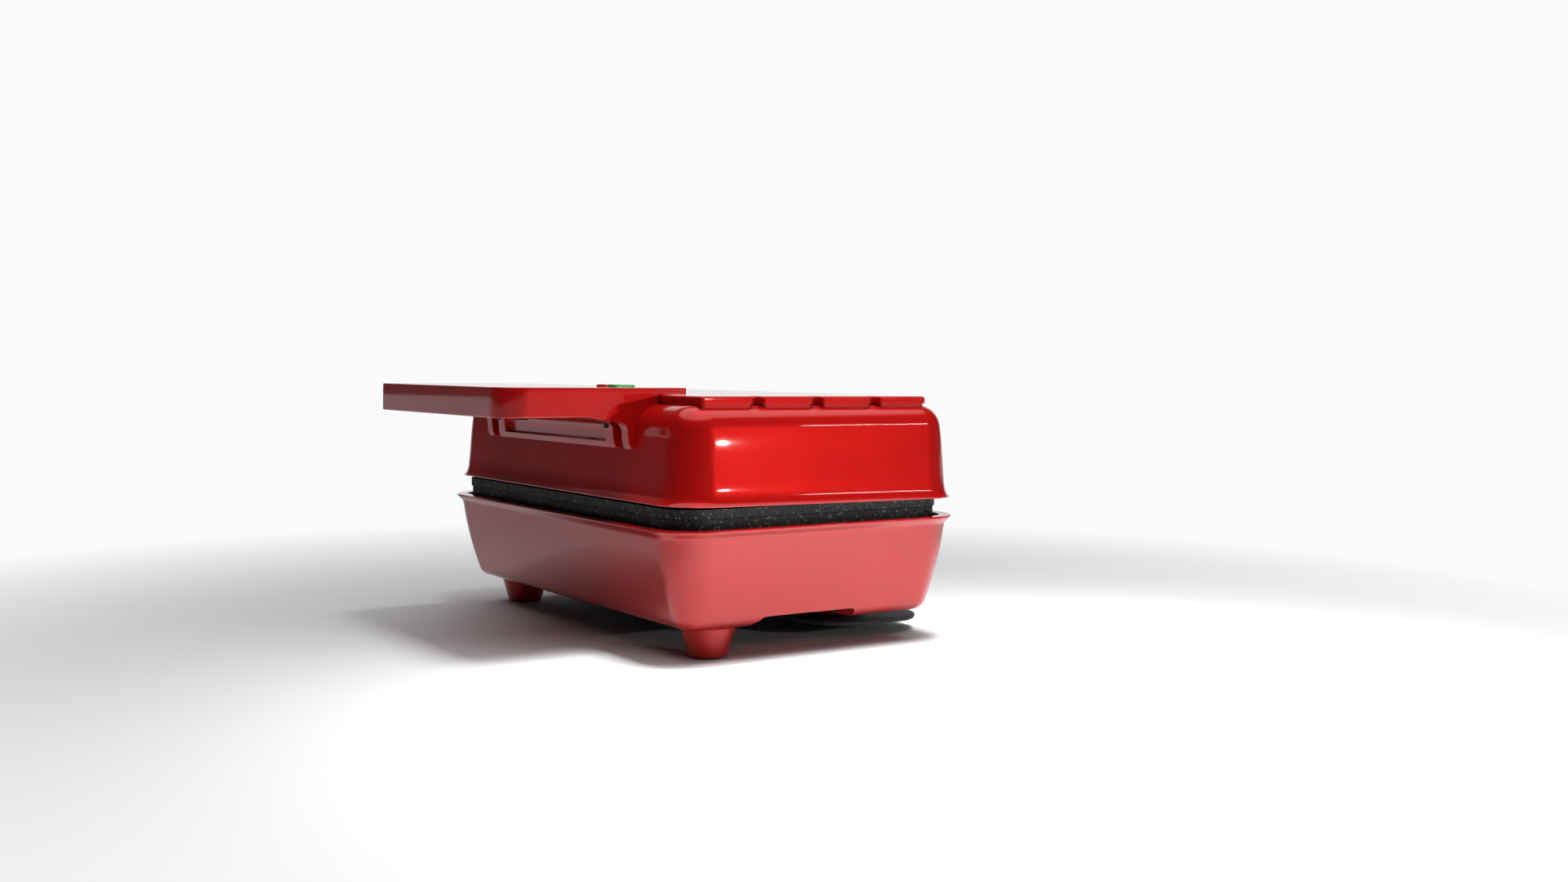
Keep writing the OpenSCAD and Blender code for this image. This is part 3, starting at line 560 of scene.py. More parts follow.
@dataclass(frozen=True)
class LensMoulding(FinishBase):
    """Tinted see-through lens with a soft glow of its lamp behind."""

    name: str = "lens"
    colour: tuple[float, float, float] = (0.6, 0.01, 0.01)
    deep: tuple[float, float, float] = (0.4, 0.005, 0.005)
    glow: float = 0.0

    def shade(self, sheet: ShaderSheet, surface: bpy.types.Node) -> None:
        """Feeds the tint, the gloss and the glow."""
        tint = self.moulded(sheet, surface, (0.7, 180.0), (0.08, 0.16, 90.0),
                            (2400.0, 500.0, 0.5), 0.01)
        sheet.feed(surface, Transmission_Weight=0.35, IOR=1.49, Emission_Color=tint,
                   Emission_Strength=self.glow)


RED = GlossMoulding()
BLACK = MattMoulding(name="black_moulding")
RUBBER = MattMoulding(name="rubber", colour=(0.014, 0.014, 0.014), deep=(0.008, 0.008, 0.008),
                      low=0.6, high=0.8, grain_mm=0.05, grain_scale=900.0)
SPECKLE = SpeckledCoating()
CERAMIC = MattMoulding(name="ceramic", colour=(0.72, 0.69, 0.62), deep=(0.6, 0.56, 0.48), low=0.4,
                       high=0.6, grain_mm=0.04, grain_scale=1100.0)
NYLON = MattMoulding(name="bush_nylon", colour=(0.55, 0.53, 0.47), deep=(0.46, 0.44, 0.38),
                     low=0.35, high=0.5, grain_mm=0.01)
SLEEVE = MattMoulding(name="lead_sleeve", colour=(0.7, 0.7, 0.68), deep=(0.55, 0.55, 0.53), low=0.4,
                      high=0.55, grain_mm=0.05, grain_scale=2000.0)
LAMP_GLASS = MattMoulding(name="lamp_glass", colour=(0.75, 0.74, 0.7), deep=(0.6, 0.58, 0.52),
                          low=0.1, high=0.2, grain_mm=0.003)
SHEET_METAL = Metal(name="shield_sheet", colour=(0.78, 0.78, 0.77), dull=(0.6, 0.6, 0.6))
HEATER_STEEL = Metal(name="heater_steel", colour=(0.34, 0.31, 0.28), dull=(0.2, 0.18, 0.17),
                     low=0.4, high=0.6, stretch=0.2)
SCREW_STEEL = Metal(name="screw_steel", colour=(0.66, 0.65, 0.62), dull=(0.5, 0.49, 0.47), low=0.2,
                    high=0.34, lines=1600.0, stretch=0.6)
DARK_SCREW = Metal(name="blackened_screw", colour=(0.03, 0.03, 0.032), dull=(0.018, 0.018, 0.02),
                   low=0.4, high=0.55, lines=1600.0, stretch=0.6)
RED_LENS = LensMoulding(name="red_lens", colour=(0.5, 0.006, 0.006), deep=(0.3, 0.003, 0.003))
GREEN_LENS = LensMoulding(name="green_lens", colour=(0.004, 0.5, 0.06), deep=(0.002, 0.3, 0.03),
                          glow=0.25)


# ---------------------------------------------------------------- mesh making


def cosd(angle: float) -> float:
    """Cosine of an angle in degrees."""
    return math.cos(math.radians(angle))


def sind(angle: float) -> float:
    """Sine of an angle in degrees."""
    return math.sin(math.radians(angle))


def oblong(left: float, front: float, right: float, rear: float) -> list[Point]:
    """Corners of a plain rectangle, counter-clockwise."""
    return [(left, front), (right, front), (right, rear), (left, rear)]


def arc(centre: Point, radius: float, start: float, end: float, steps: int) -> list[Point]:
    """Points on an arc.

    Args:
        centre: middle of the arc.
        radius: its radius.
        start: first angle in degrees.
        end: last angle in degrees.
        steps: number of segments.

    Returns:
        The points, both ends included.
    """
    angles = [math.radians(start + (end - start) * i / steps) for i in range(steps + 1)]
    return [(centre[0] + radius * math.cos(a), centre[1] + radius * math.sin(a)) for a in angles]


@dataclass(frozen=True)
class RoundedRectangle:
    """A rectangle with round corners, seen from above, that can be drawn in by an inset."""

    width: float
    depth: float
    radius: float
    middle_y: float = 0.0
    least_radius: float = 3.0
    corner_steps: int = 14
    side_steps: int = 6

    def ring(self, inset: float, height: float) -> list[Vector]:
        """Points round the outline at one height.

        Args:
            inset: how far the outline is drawn in.
            height: Z of the points.

        Returns:
            The points, counter-clockwise from the right front corner.
        """
        radius = max(self.radius - inset, self.least_radius)
        half_x, half_y = self.width / 2 - inset - radius, self.depth / 2 - inset - radius
        made: list[Vector] = []
        corners = ((half_x, -half_y, -90), (half_x, half_y, 0), (-half_x, half_y, 90),
                   (-half_x, -half_y, 180))
        for i, (x, y, turn) in enumerate(corners):
            points = arc((x, y), radius, turn, turn + 90, self.corner_steps)
            made += [Vector((px, py + self.middle_y, height)) for px, py in points]
            after = corners[(i + 1) % 4]
            first = arc((after[0], after[1]), radius, after[2], after[2], 1)[0]
            (px, py), (qx, qy) = points[-1], first
            for k in range(1, self.side_steps):
                share = 0.5 - 0.5 * math.cos(math.pi * (k / self.side_steps))
                made.append(Vector((px + (qx - px) * share,
                                    py + (qy - py) * share + self.middle_y, height)))
        return made


def add_loft(bm: bmesh.types.BMesh, rings: Sequence[Sequence[Vector]], closed: bool = False,
             caps: bool = False) -> None:
    """Skins rings of equal length.

    Args:
        bm: the mesh that gets the faces.
        rings: the rings in order.
        closed: whether the last ring joins the first.
        caps: whether the first and the last ring are filled.
    """
    verts = [[bm.verts.new(p) for p in ring] for ring in rings]
    pairs = list(zip(verts, verts[1:])) + ([(verts[-1], verts[0])] if closed else [])
    for lower, upper in pairs:
        for i in range(len(lower)):
            k = (i + 1) % len(lower)
            bm.faces.new((lower[i], lower[k], upper[k], upper[i]))
    if caps:
        bm.faces.new(list(reversed(verts[0])))
        bm.faces.new(verts[-1])


def add_prism(bm: bmesh.types.BMesh, outline: Sequence[Point], low: float, high: float,
              axis: str = "Z", bevel: float = 0.0, bevel_steps: int = 3) -> None:
    """Adds an extruded outline with softened edges.

    Args:
        bm: the mesh that gets the faces.
        outline: points of the outline; (x, y) for axis Z and (y, z) for axis X.
        low: start of the extrusion along the axis.
        high: end of the extrusion along the axis.
        axis: "Z" or "X".
        bevel: width of the softened edges round both ends, or 0.
        bevel_steps: segments in each softened edge.
    """
    def place(point: Point, level: float) -> Vector:
        """Point of the outline at a level of the extrusion."""
        return Vector((point[0], point[1], level)) if axis == "Z" else Vector((level, *point))

    part = bmesh.new()
    add_loft(part, [[place(p, low) for p in outline], [place(p, high) for p in outline]],
             caps=True)
    bmesh.ops.recalc_face_normals(part, faces=part.faces)
    if bevel > 0:
        ends = {f for f in part.faces if len(f.verts) == len(outline)}
        rims = [e for e in part.edges if len(ends & set(e.link_faces)) == 1]
        bmesh.ops.bevel(part, geom=rims, offset=bevel, segments=bevel_steps, profile=0.5,
                        affect="EDGES", clamp_overlap=True)
    merge_into(bm, part)


def add_turned(bm: bmesh.types.BMesh, profile: Sequence[Point],
               centre: tuple[float, float, float], steps: int) -> None:
    """Adds a shape turned round an upright axis.

    Args:
        bm: the mesh that gets the faces.
        profile: (radius, height) points.
        centre: place of the shape's axis foot.
        steps: segments round the axis.
    """
    part = bmesh.new()
    turns = [2 * math.pi * i / steps for i in range(steps)]
    add_loft(part, [[Vector((radius * math.cos(a), radius * math.sin(a), height)) for a in turns]
                    for radius, height in profile])
    bmesh.ops.remove_doubles(part, verts=part.verts, dist=1e-5)
    bmesh.ops.holes_fill(part, edges=[e for e in part.edges if e.is_boundary], sides=0)
    bmesh.ops.translate(part, verts=part.verts, vec=Vector(centre))
    bmesh.ops.recalc_face_normals(part, faces=part.faces)
    merge_into(bm, part)


def merge_into(bm: bmesh.types.BMesh, part: bmesh.types.BMesh) -> None:
    """Copies a part mesh into another mesh and frees it.

    Args:
        bm: the mesh that gets the faces.
        part: the mesh that is copied.
    """
    step = bpy.data.meshes.new("step")
    part.to_mesh(step)
    part.free()
    bm.from_mesh(step)
    bpy.data.meshes.remove(step)


def as_object(name: str, bm: bmesh.types.BMesh, matrix: Matrix,
              finish: FinishBase | None = None) -> bpy.types.Object:
    """Turns a mesh in millimetres into a scene object in the frame.

    Args:
        name: the object's name.
        bm: the mesh, which is freed.
        matrix: takes the mesh to the frame.
        finish: its finish, or none for a helper.

    Returns:
        The object, with its place in its vertices.
    """
    bmesh.ops.recalc_face_normals(bm, faces=bm.faces)
    bmesh.ops.transform(bm, matrix=matrix, verts=bm.verts)
    mesh = bpy.data.meshes.new(name)
    bm.to_mesh(mesh)
    bm.free()
    made = bpy.data.objects.new(name, mesh)
    bpy.context.scene.collection.objects.link(made)
    if finish is not None:
        mesh.materials.append(finish.material())
    soften(made)
    return made


def soften(piece: bpy.types.Object) -> None:
    """Shades a piece smooth, with its true corners left sharp."""
    piece.data.shade_smooth()
    piece.data.set_sharp_from_angle(angle=SHARP_ANGLE)


def weigh_normals(piece: bpy.types.Object) -> None:
    """Lets large flat faces rule the shading of the small faces beside them."""
    weigh = piece.modifiers.new("weighted_normals", "WEIGHTED_NORMAL")
    weigh.keep_sharp = True
    weigh.weight = 60


def carve(piece: bpy.types.Object, cutters: Iterable[bpy.types.Object]) -> None:
    """Cuts solids out of a piece, applies the cuts and removes the solids.

    Args:
        piece: the piece that is cut.
        cutters: closed solids in the frame.
    """
    for cutter in cutters:
        cut = piece.modifiers.new("cut", "BOOLEAN")
        cut.operation, cut.solver, cut.object = "DIFFERENCE", "EXACT", cutter
        cut.use_self = True
        bpy.context.view_layer.update()
        graph = bpy.context.evaluated_depsgraph_get()
        mesh = bpy.data.meshes.new_from_object(piece.evaluated_get(graph))
        piece.modifiers.remove(cut)
        old, piece.data = piece.data, mesh
        bpy.data.meshes.remove(old)
        bpy.data.objects.remove(cutter)
    soften(piece)


@dataclass
class SubAssembly:
    """A group of pieces that ride on one CAD body."""

    body: Body

    @property
    def matrix(self) -> Matrix:
        """Matrix that takes this sub-assembly's sizes to the frame."""
        return DATUM.base_matrix() if self.body is Body.BASE else DATUM.lid_matrix()

    def mount(self, piece: bpy.types.Object, slot: str, *nodes: str) -> None:
        """Rides a piece on the body and hides the CAD nodes that it stands for.

        Args:
            piece: the finished piece.
            slot: the record's material slot of its finish; it is not used.
            nodes: CAD nodes that it stands for.
        """
        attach(piece, self.body.value)
        if nodes:
            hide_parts(*nodes)
        LOG.info("%s: %d faces on %s", piece.name, len(piece.data.polygons), self.body.value)

    def place(self, name: str, bm: bmesh.types.BMesh, *nodes: str,
              cutters: Iterable[bpy.types.Object] = (), finish: FinishBase = RED,
              slot: str = "casing") -> None:
        """Makes a moulding, cuts it, evens its shading and mounts it.

        Args:
            name: the piece's name.
            bm: its mesh in millimetres, which is freed.
            nodes: CAD nodes that it stands for.
            cutters: solids that are cut out of it.
            finish: its finish.
            slot: the record's material slot of that finish.
        """
        piece = as_object(name, bm, self.matrix, finish)
        if cutters:
            carve(piece, cutters)
        weigh_normals(piece)
        self.mount(piece, slot, *nodes)

    def build(self) -> None:
        """Builds and dresses every piece of the sub-assembly."""
        raise NotImplementedError


@dataclass
class BaseCasing(SubAssembly):
    """The bowl-shaped lower casing with its rim lip, cord notch and hinge ears."""

    body: Body = Body.BASE
    width: float = 260.0
    depth: float = 156.6
    rim: float = 58.9
    belly: float = 14.2
    corner: float = 22.0
    wall: float = 2.4
    lip: float = 3.0
    lip_drop: float = 3.4
    foot_inset: float = 11.6
    bulge: float = 1.1
    turn: float = 7.0
    turn_start: float = 20.0
    opening_in: float = 26.0
    ear_sunk: float = 1.2
    ear_offset: float = 9.9
    ear_half: float = 2.5
    shield_low: float = 37.9
    post_radius: float = 5.5
    post_bore: float = 1.7
    screw_head: float = 3.2
    post_place: Point = (88.0, 43.0)

    def wall_span(self) -> Point:
        """Heights of the top and of the foot of the outer wall."""
        return self.rim - self.lip_drop, self.belly + self.turn * (1 - sind(self.turn_start))

    def wall_inset(self, z: float) -> float:
        """Inset of the outer wall at a height under its lip."""
        top, low = self.wall_span()
        t = (top - z) / (top - low)
        return self.lip + (self.foot_inset - self.lip) * t - 4 * self.bulge * t * (1 - t)

    def profile(self) -> list[Point]:
        """Closed section of the casing as (inset, height), from the inner rim outwards and down."""
        rim = self.rim
        top, low = self.wall_span()
        lip = [(5.0, rim), (1.0, rim), (0.45, rim - 0.06), (0.12, rim - 0.25), (0.0, rim - 0.6),
               (0.1, rim - 0.95), (0.5, rim - 1.45), (1.5, rim - 2.4), (2.2, rim - 3.05),
               (2.7, rim - 3.6), (2.98, rim - 4.3)]
        wall = [(self.wall_inset(z), z) for z in (top + (low - top) * i / 24 for i in range(2, 25))]
        belly_in = self.foot_inset + self.turn * cosd(self.turn_start)
        under = [(belly_in - self.turn * cosd(a), self.belly + self.turn * (1 - sind(a)))
                 for a in (26, 33, 41, 50, 60, 70, 80, 90)]
        ledge, edge = self.belly + self.wall, self.opening_in
        floor = ledge + 2.0
        inside = [(edge, self.belly), (edge, ledge), (edge + 6.0, ledge), (edge + 6.0, floor)]
        inner = [(self.wall_inset(z) + self.wall, z)
                 for z in (floor + (top - floor) * i / 10 for i in range(11))]
        return lip + wall + under + inside + inner + [(5.4, rim - 0.3)]

    def notch_cutter(self) -> bpy.types.Object:
        """Solid of the cord notch in the right side of the belly."""
        low, top, rear = self.belly - 3.0, self.belly + 4.4, 22.0
        outline = [(-38.0, low), (rear, low), (rear, top - 2.2)]
        outline += arc((rear - 2.2, top - 2.2), 2.2, 0, 90, 6)[1:]
        outline += arc((-24.5, top - 5.0), 5.0, 90, 140, 6)
        outline += [(-30.6, self.belly + 1.2), (-32.2, self.belly + 0.1), (-34.0, self.belly - 0.6),
                    (-38.0, self.belly - 1.0)]
        bm = bmesh.new()
        add_prism(bm, outline, self.width / 2 - 35.0, self.width / 2 + 2.0, axis="X")
        return as_object("notch_cutter", bm, self.matrix)

    def notch_roof(self) -> None:
        """Adds the block that closes the cord notch off from the inside of the casing."""
        low, top = self.belly + self.wall, self.belly + 6.6
        bm = bmesh.new()
        add_prism(bm, oblong(-35.0, low, 26.0, top), 92.5, 117.0, axis="X")
        self.place("base_cord_notch_roof", bm, cutters=[self.notch_cutter()])

    def ears(self, bm: bmesh.types.BMesh) -> None:
        """Adds the four hinge ears behind the rear wall.

        Args:
            bm: the casing's mesh.
        """
        hinge_y, hinge_z, r = DATUM.hinge_back, DATUM.hinge_height, DATUM.hinge_radius
        low, mid = self.rim - 15.0, self.rim - self.lip_drop
        back = self.depth / 2
        outline = [(back - self.wall_inset(low) - self.ear_sunk, low),
                   (hinge_y + r * 0.82, hinge_z - r * 0.57)]
        outline += arc((hinge_y, hinge_z), r, -35, 180, 18)[1:]
        outline += [(hinge_y - r, self.rim), (back - self.lip - self.ear_sunk, self.rim),
                    (back - self.wall_inset(mid) - self.ear_sunk, mid)]
        for side in (-1, 1):
            for offset in (-self.ear_offset, self.ear_offset):
                x = side * DATUM.hinge_side + offset
                add_prism(bm, outline, x - self.ear_half, x + self.ear_half, axis="X", bevel=0.4,
                          bevel_steps=2)

    def posts(self, bm: bmesh.types.BMesh) -> None:
        """Adds the hollow posts under the heat shield.

        Args:
            bm: the casing's mesh.
        """
        floor, top = self.belly + self.wall, self.shield_low
        r, bore, head = self.post_radius, self.post_bore, self.screw_head
        profile = [(r, floor + 1.9), (r, top), (bore, top), (bore, floor + 6.0), (head, floor + 6.0),
                   (head, floor + 1.9), (r, floor + 1.9)]
        x, y = self.post_place
        for sx in (-1, 1):
            for sy in (-1, 1):
                add_turned(bm, profile, (sx * x, sy * y, 0.0), steps=32)

    def build(self) -> None:
        """Builds the casing, cuts its notch and mounts it."""
        plan = RoundedRectangle(self.width, self.depth, self.corner)
        bm = bmesh.new()
        add_loft(bm, [plan.ring(i, z) for i, z in self.profile()], closed=True)
        self.place("base_casing", bm, "base_shell", cutters=[self.notch_cutter()])
        self.notch_roof()
        fittings = bmesh.new()
        self.ears(fittings)
        self.posts(fittings)
        self.mount(as_object("base_hinge_ears_and_posts", fittings, self.matrix, RED), "casing")


@dataclass
class LidCasing(SubAssembly):
    """The lid with its flared lip, round top edge and hinge knuckles."""

    body: Body = Body.LID
    width: float = 256.0
    depth: float = 151.8
    middle_y: float = 1.6
    low: float = 66.7
    top: float = 109.6
    corner: float = 19.5
    wall: float = 2.2
    flare: float = 2.1
    flare_reach: float = 2.2
    draft: float = 0.07
    edge: float = 11.0
    edge_start: float = 7.15
    swell_from: float = 90.0
    swell: float = 0.003
    clearance: float = 0.05
    knuckle_half: float = 7.0
    knuckle_back: float = 77.5

    def wall_inset(self, z: float) -> float:
        """Inset of the outer wall at a height: a flare, a slight draft, then a swell upwards."""
        rise, swell = z - self.low - 0.5, max(0.0, z - self.swell_from)
        return (self.draft * rise + self.flare * (1 - math.exp(-rise / self.flare_reach))
                + self.swell * swell ** 2)

    def section(self, skin: float, flare_steps: int, edge_steps: int) -> list[Point]:
        """Section of the lid from its lip to its top as (inset, height).

        Args:
            skin: distance inwards from the outer face.
            flare_steps: segments in the flare.
            edge_steps: segments in the round top edge.

        Returns:
            The points, from low to high.
        """
        points = []
        foot, knee = self.low + 0.5, self.low + 12.0
        for i in range(flare_steps + 1):
            z = foot + (knee - foot) * (i / flare_steps) ** 1.6
            points.append((self.wall_inset(z) + skin, z))
        turn = math.radians(self.edge_start)
        last = self.top - self.edge * (1 - math.sin(turn))
        middle_in = self.wall_inset(last) + self.edge * math.cos(turn)
        for i in range(1, 6):
            z = knee + (last - knee) * i / 6
            points.append((self.wall_inset(z) + skin, z))
        for i in range(edge_steps + 1):
            a = turn + (math.pi / 2 - turn) * i / edge_steps
            points.append((middle_in - (self.edge - skin) * math.cos(a),
                           self.top - self.edge + (self.edge - skin) * math.sin(a)))
        return points

    def plan(self) -> RoundedRectangle:
        """Outline of the lid's lip."""
        return RoundedRectangle(self.width, self.depth, self.corner, self.middle_y)

    def solid(self) -> bpy.types.Object:
        """Closed solid of the lid's outer shape, a little larger, for cutting what lies on it."""
        bm = bmesh.new()
        rings = [self.plan().ring(i, z) for i, z in self.section(-self.clearance, 6, 14)]
        rings.insert(0, self.plan().ring(-self.clearance, self.low - 1.0))
        add_loft(bm, rings, caps=True)
        return as_object("lid_solid", bm, self.matrix)

    def knuckles(self, bm: bmesh.types.BMesh) -> None:
        """Adds the two hinge knuckles and their webs up the rear wall.

        Args:
            bm: the mesh that gets them.
        """
        y, z, r = DATUM.hinge_back, DATUM.hinge_height, DATUM.hinge_radius
        rear = self.knuckle_back
        outline = arc((y, z), r, 150, 380, 20)
        top, knee = self.low + 24.0, self.low + 12.0
        outline += [(y + r - 0.6, z + 7.0), (y + r - 2.2, z + 12.0),
                    (rear - self.wall_inset(top) + 0.2, top),
                    (rear - self.wall_inset(top) - 1.0, top),
                    (rear - self.wall_inset(knee) - 1.0, knee), (rear - 1.1, self.low + 1.2)]
        for x in (-DATUM.hinge_side, DATUM.hinge_side):
            add_prism(bm, outline, x - self.knuckle_half, x + self.knuckle_half, axis="X",
                      bevel=0.6)

    def build(self) -> None:
        """Builds the lid and its knuckles and mounts them."""
        outer = self.section(0.0, 14, 16)
        inner = self.section(self.wall, 5, 8)
        lip = [(self.wall, self.low + 0.2), (self.wall - 0.3, self.low), (0.45, self.low),
               (0.12, self.low + 0.12)]
        bm = bmesh.new()
        plan = self.plan()
        add_loft(bm, [plan.ring(i, z) for i, z in inner[::-1] + lip + outer], caps=True)
        self.place("lid_casing", bm, "lid_shell")
        fittings = bmesh.new()
        self.knuckles(fittings)
        self.mount(as_object("lid_knuckles", fittings, self.matrix, RED), "casing")


@dataclass
class TopPanel(SubAssembly):
    """The raised panel on the lid with vent notches along both sides."""

    body: Body = Body.LID
    half_width: float = 118.0
    front: float = -58.3
    rear: float = 61.1
    top: float = 113.6
    low: float = 107.8
    ledge: float = 110.3
    reveal: float = 0.7
    notches: tuple[float, ...] = (-29.7, 1.4, 32.7)
    notch_width: float = 4.4
    notch_depth: float = 5.0
    corner: float = 1.6
    edge: float = 1.2

    def side(self, shrink: float = 0.0) -> list[Point]:
        """Points of the right side from front to rear, with its rounded corners and notches.

        Args:
            shrink: how far the outline is drawn in.

        Returns:
            The points.
        """
        x, r, half = self.half_width - shrink, self.corner, self.notch_width / 2 + shrink
        made = arc((x - r, self.front + shrink + r), r, -90, 0, 5)
        for y in self.notches:
            made += arc((x - r, y - half - r), r, 0, 90, 5)
            made += arc((x - self.notch_depth, y), half, 270, 90, 8)
            made += arc((x - r, y + half + r), r, -90, 0, 5)
        made += arc((x - r, self.rear - shrink - r), r, 0, 90, 5)
        return made

    def slab(self, low: float, top: float, shrink: float) -> bmesh.types.BMesh:
        """Flat slab with the panel's outline.

        Args:
            low: height of its underside.
            top: height of its top.
            shrink: how far the outline is drawn in.

        Returns:
            The slab's mesh.
        """
        right = self.side(shrink)
        outline = right + [(-x, y) for x, y in reversed(right)]
        part = bmesh.new()
        add_loft(part, [[Vector((x, y, z)) for x, y in outline] for z in (low, top)],
                 caps=True)
        bmesh.ops.recalc_face_normals(part, faces=part.faces)
        return part

    def build(self) -> None:
        """Builds the panel and mounts it."""
        bm = self.slab(self.low, self.ledge + 0.1, self.reveal)
        part = self.slab(self.ledge, self.top, 0.0)
        rims = [e for e in part.edges if all(abs(v.co.z - self.top) < 1e-3 for v in e.verts)]
        bmesh.ops.bevel(part, geom=rims, offset=self.edge, segments=4, profile=0.5, affect="EDGES",
                        clamp_overlap=True)
        merge_into(bm, part)
        self.place("top_panel_moulding", bm, "top_panel")


@dataclass
class FrontHandle(SubAssembly):
    """The flat thick handle, its ears down the front of the lid and its framed under-cover."""

    body: Body = Body.LID
    half_width: float = 80.5
    front: float = -133.5
    rear: float = -45.0
    root: float = -58.1
    low: float = 103.4
    top: float = 116.6
    corner: float = 12.5
    wall: float = 3.0
    edge: float = 0.7
    ear: float = 6.2
    ear_low: float = 89.6
    frame_out: float = 65.8
    frame_width: float = 8.0
    frame_low: float = 2.7
    lamp_places: tuple[float, ...] = (20.0, 32.0)

    def outline(self, shrink: float, rear: float) -> list[Point]:
        """Outline of the handle seen from above, round at the front and square at the rear.

        Args:
            shrink: how far it is drawn in at the sides and the front.
            rear: Y of its rear edge.

        Returns:
            The points, counter-clockwise.
        """
        r = self.corner - shrink
        x, y = self.half_width - self.corner, self.front + self.corner
        left, right = arc((-x, y), r, 180, 270, 20), arc((x, y), r, 270, 360, 20)
        return [(-self.half_width + shrink, rear), *left, *right, (self.half_width - shrink, rear)]

    def ear_profile(self) -> list[Point]:
        """Side view of an ear: along the handle's underside, then down the front of the lid."""
        y, turn, r = -72.7, self.low - 6.8, 5
        points = [(y - 19.0, self.low + 0.01), (y - 12.5, self.low - 1.0)]
        points += [(y - r * (1 - cosd(a)) - 1.4, turn + r * sind(a))
                   for a in (90, 76, 62, 48, 34, 20, 8, 0)]
        return points + [(y - 0.9, self.ear_low + 2.2), (y, self.ear_low)]

    def ear_outline(self) -> list[Point]:
        """Closed side view of an ear, with its hidden rear."""
        return self.ear_profile() + [(-66.7, self.ear_low), (-60.7, self.low),
                                     (-60.7, self.low + 1.0), (-91.7, self.low + 1.0)]

    def add_bars(self, bm: bmesh.types.BMesh, outer: float, inner: float) -> None:
        """Adds a bar with the ear's outline at each side.

        Args:
            bm: the mesh that gets them.
            outer: distance of the outer faces from the middle.
            inner: distance of the inner faces from the middle.
        """
        for left, right in ((-outer, -inner), (inner, outer)):
            add_prism(bm, self.ear_outline(), left, right, axis="X", bevel=0.35)

    def lens_windows(self) -> list[bpy.types.Object]:
        """Solids of the two lens openings in the top of the handle."""
        made = []
        plan = RoundedRectangle(8.0, 12.0, 2.0, -53.0, least_radius=0.5, corner_steps=6,
                                side_steps=1)
        for x in self.lamp_places:
            bm = bmesh.new()
            add_loft(bm, [[p + Vector((x, 0, 0)) for p in plan.ring(0.0, z)]
                          for z in (self.top - 4.0, self.top + 2.0)], caps=True)
            made.append(as_object("lens_window", bm, self.matrix))
        return made

    def panel_block(self) -> bpy.types.Object:
        """Solid that keeps the handle clear of the top panel."""
        bm = bmesh.new()
        add_prism(bm, oblong(-120, -58.7, 120, 40), 80.0, 113.65)
        return as_object("panel_block", bm, self.matrix)

    def apron_room(self) -> bpy.types.Object:
        """Solid that leaves room for the under-cover's apron between the ears."""
        bm = bmesh.new()
        half = self.frame_out + 0.4
        add_prism(bm, oblong(-half, -97.0, half, -57.0), 85.0, 106.2)
        return as_object("apron_room", bm, self.matrix)

    def shell(self, lid: LidCasing) -> None:
        """Builds the handle's outer moulding.

        Args:
            lid: the lid, which the moulding is trimmed to.
        """
        e = self.edge
        rounds = [(e * (1 - sind(a)), e * (1 - cosd(a))) for a in (0, 22.5, 45, 67.5, 90)]
        outer = [(s, self.low + dz) for s, dz in rounds]
        outer += [(s, self.top - dz) for s, dz in reversed(rounds)]
        inner = [(self.wall, self.top - self.wall), (self.wall, self.low + 0.3),
                 (self.wall - 0.3, self.low)]
        bm = bmesh.new()
        add_loft(bm, [[Vector((x, y, z)) for x, y in self.outline(s, self.root)]
                      for s, z in inner + outer], caps=True)
        self.place("handle_moulding", bm, "handle_shell",
                   cutters=[self.apron_room(), lid.solid(), self.panel_block()])

    def build(self) -> None:
        """Builds the handle and its under-cover and mounts them."""
        lid = LidCasing()
        self.shell(lid)

        bm = bmesh.new()
        half, root = self.half_width, self.root - 0.01
        rear_slab = [(-half, self.rear), (-half, root), (half, root), (half, self.rear)]
        add_prism(bm, rear_slab, self.top - self.wall + 0.05, self.top, bevel=self.edge)
        self.place("handle_root_plate", bm, cutters=self.lens_windows())

        bm = bmesh.new()
        self.add_bars(bm, half, half - self.ear)
        self.place("handle_ears", bm, cutters=[lid.solid()])
        self.under_cover(lid)

    def under_cover(self, lid: LidCasing) -> None:
        """Builds the cover under the handle, with the framed apron between the ears.

        Args:
            lid: the lid, which the apron is trimmed to.
        """
        bm = bmesh.new()
        add_prism(bm, self.outline(self.wall + 0.2, -81.3), self.low + 0.1, self.low + 2.4,
                  bevel=0.4)
        out, inside = self.frame_out, self.frame_out - self.frame_width
        self.add_bars(bm, out, inside)
        sunk = [(y + 3.0, z) for y, z in self.ear_outline()]
        add_prism(bm, sunk, -inside - 0.5, inside + 0.5, axis="X")
        bar_top = self.ear_low + self.frame_low
        bar = [(y, z) for y, z in self.ear_profile() if z <= bar_top]
        bar = [(-73.62, bar_top)] + bar + [(-66.7, self.ear_low), (-64.0, bar_top)]
        add_prism(bm, bar, -inside - 0.5, inside + 0.5, axis="X")
        self.place("handle_under_cover", bm, "handle_cover", cutters=[lid.solid()])


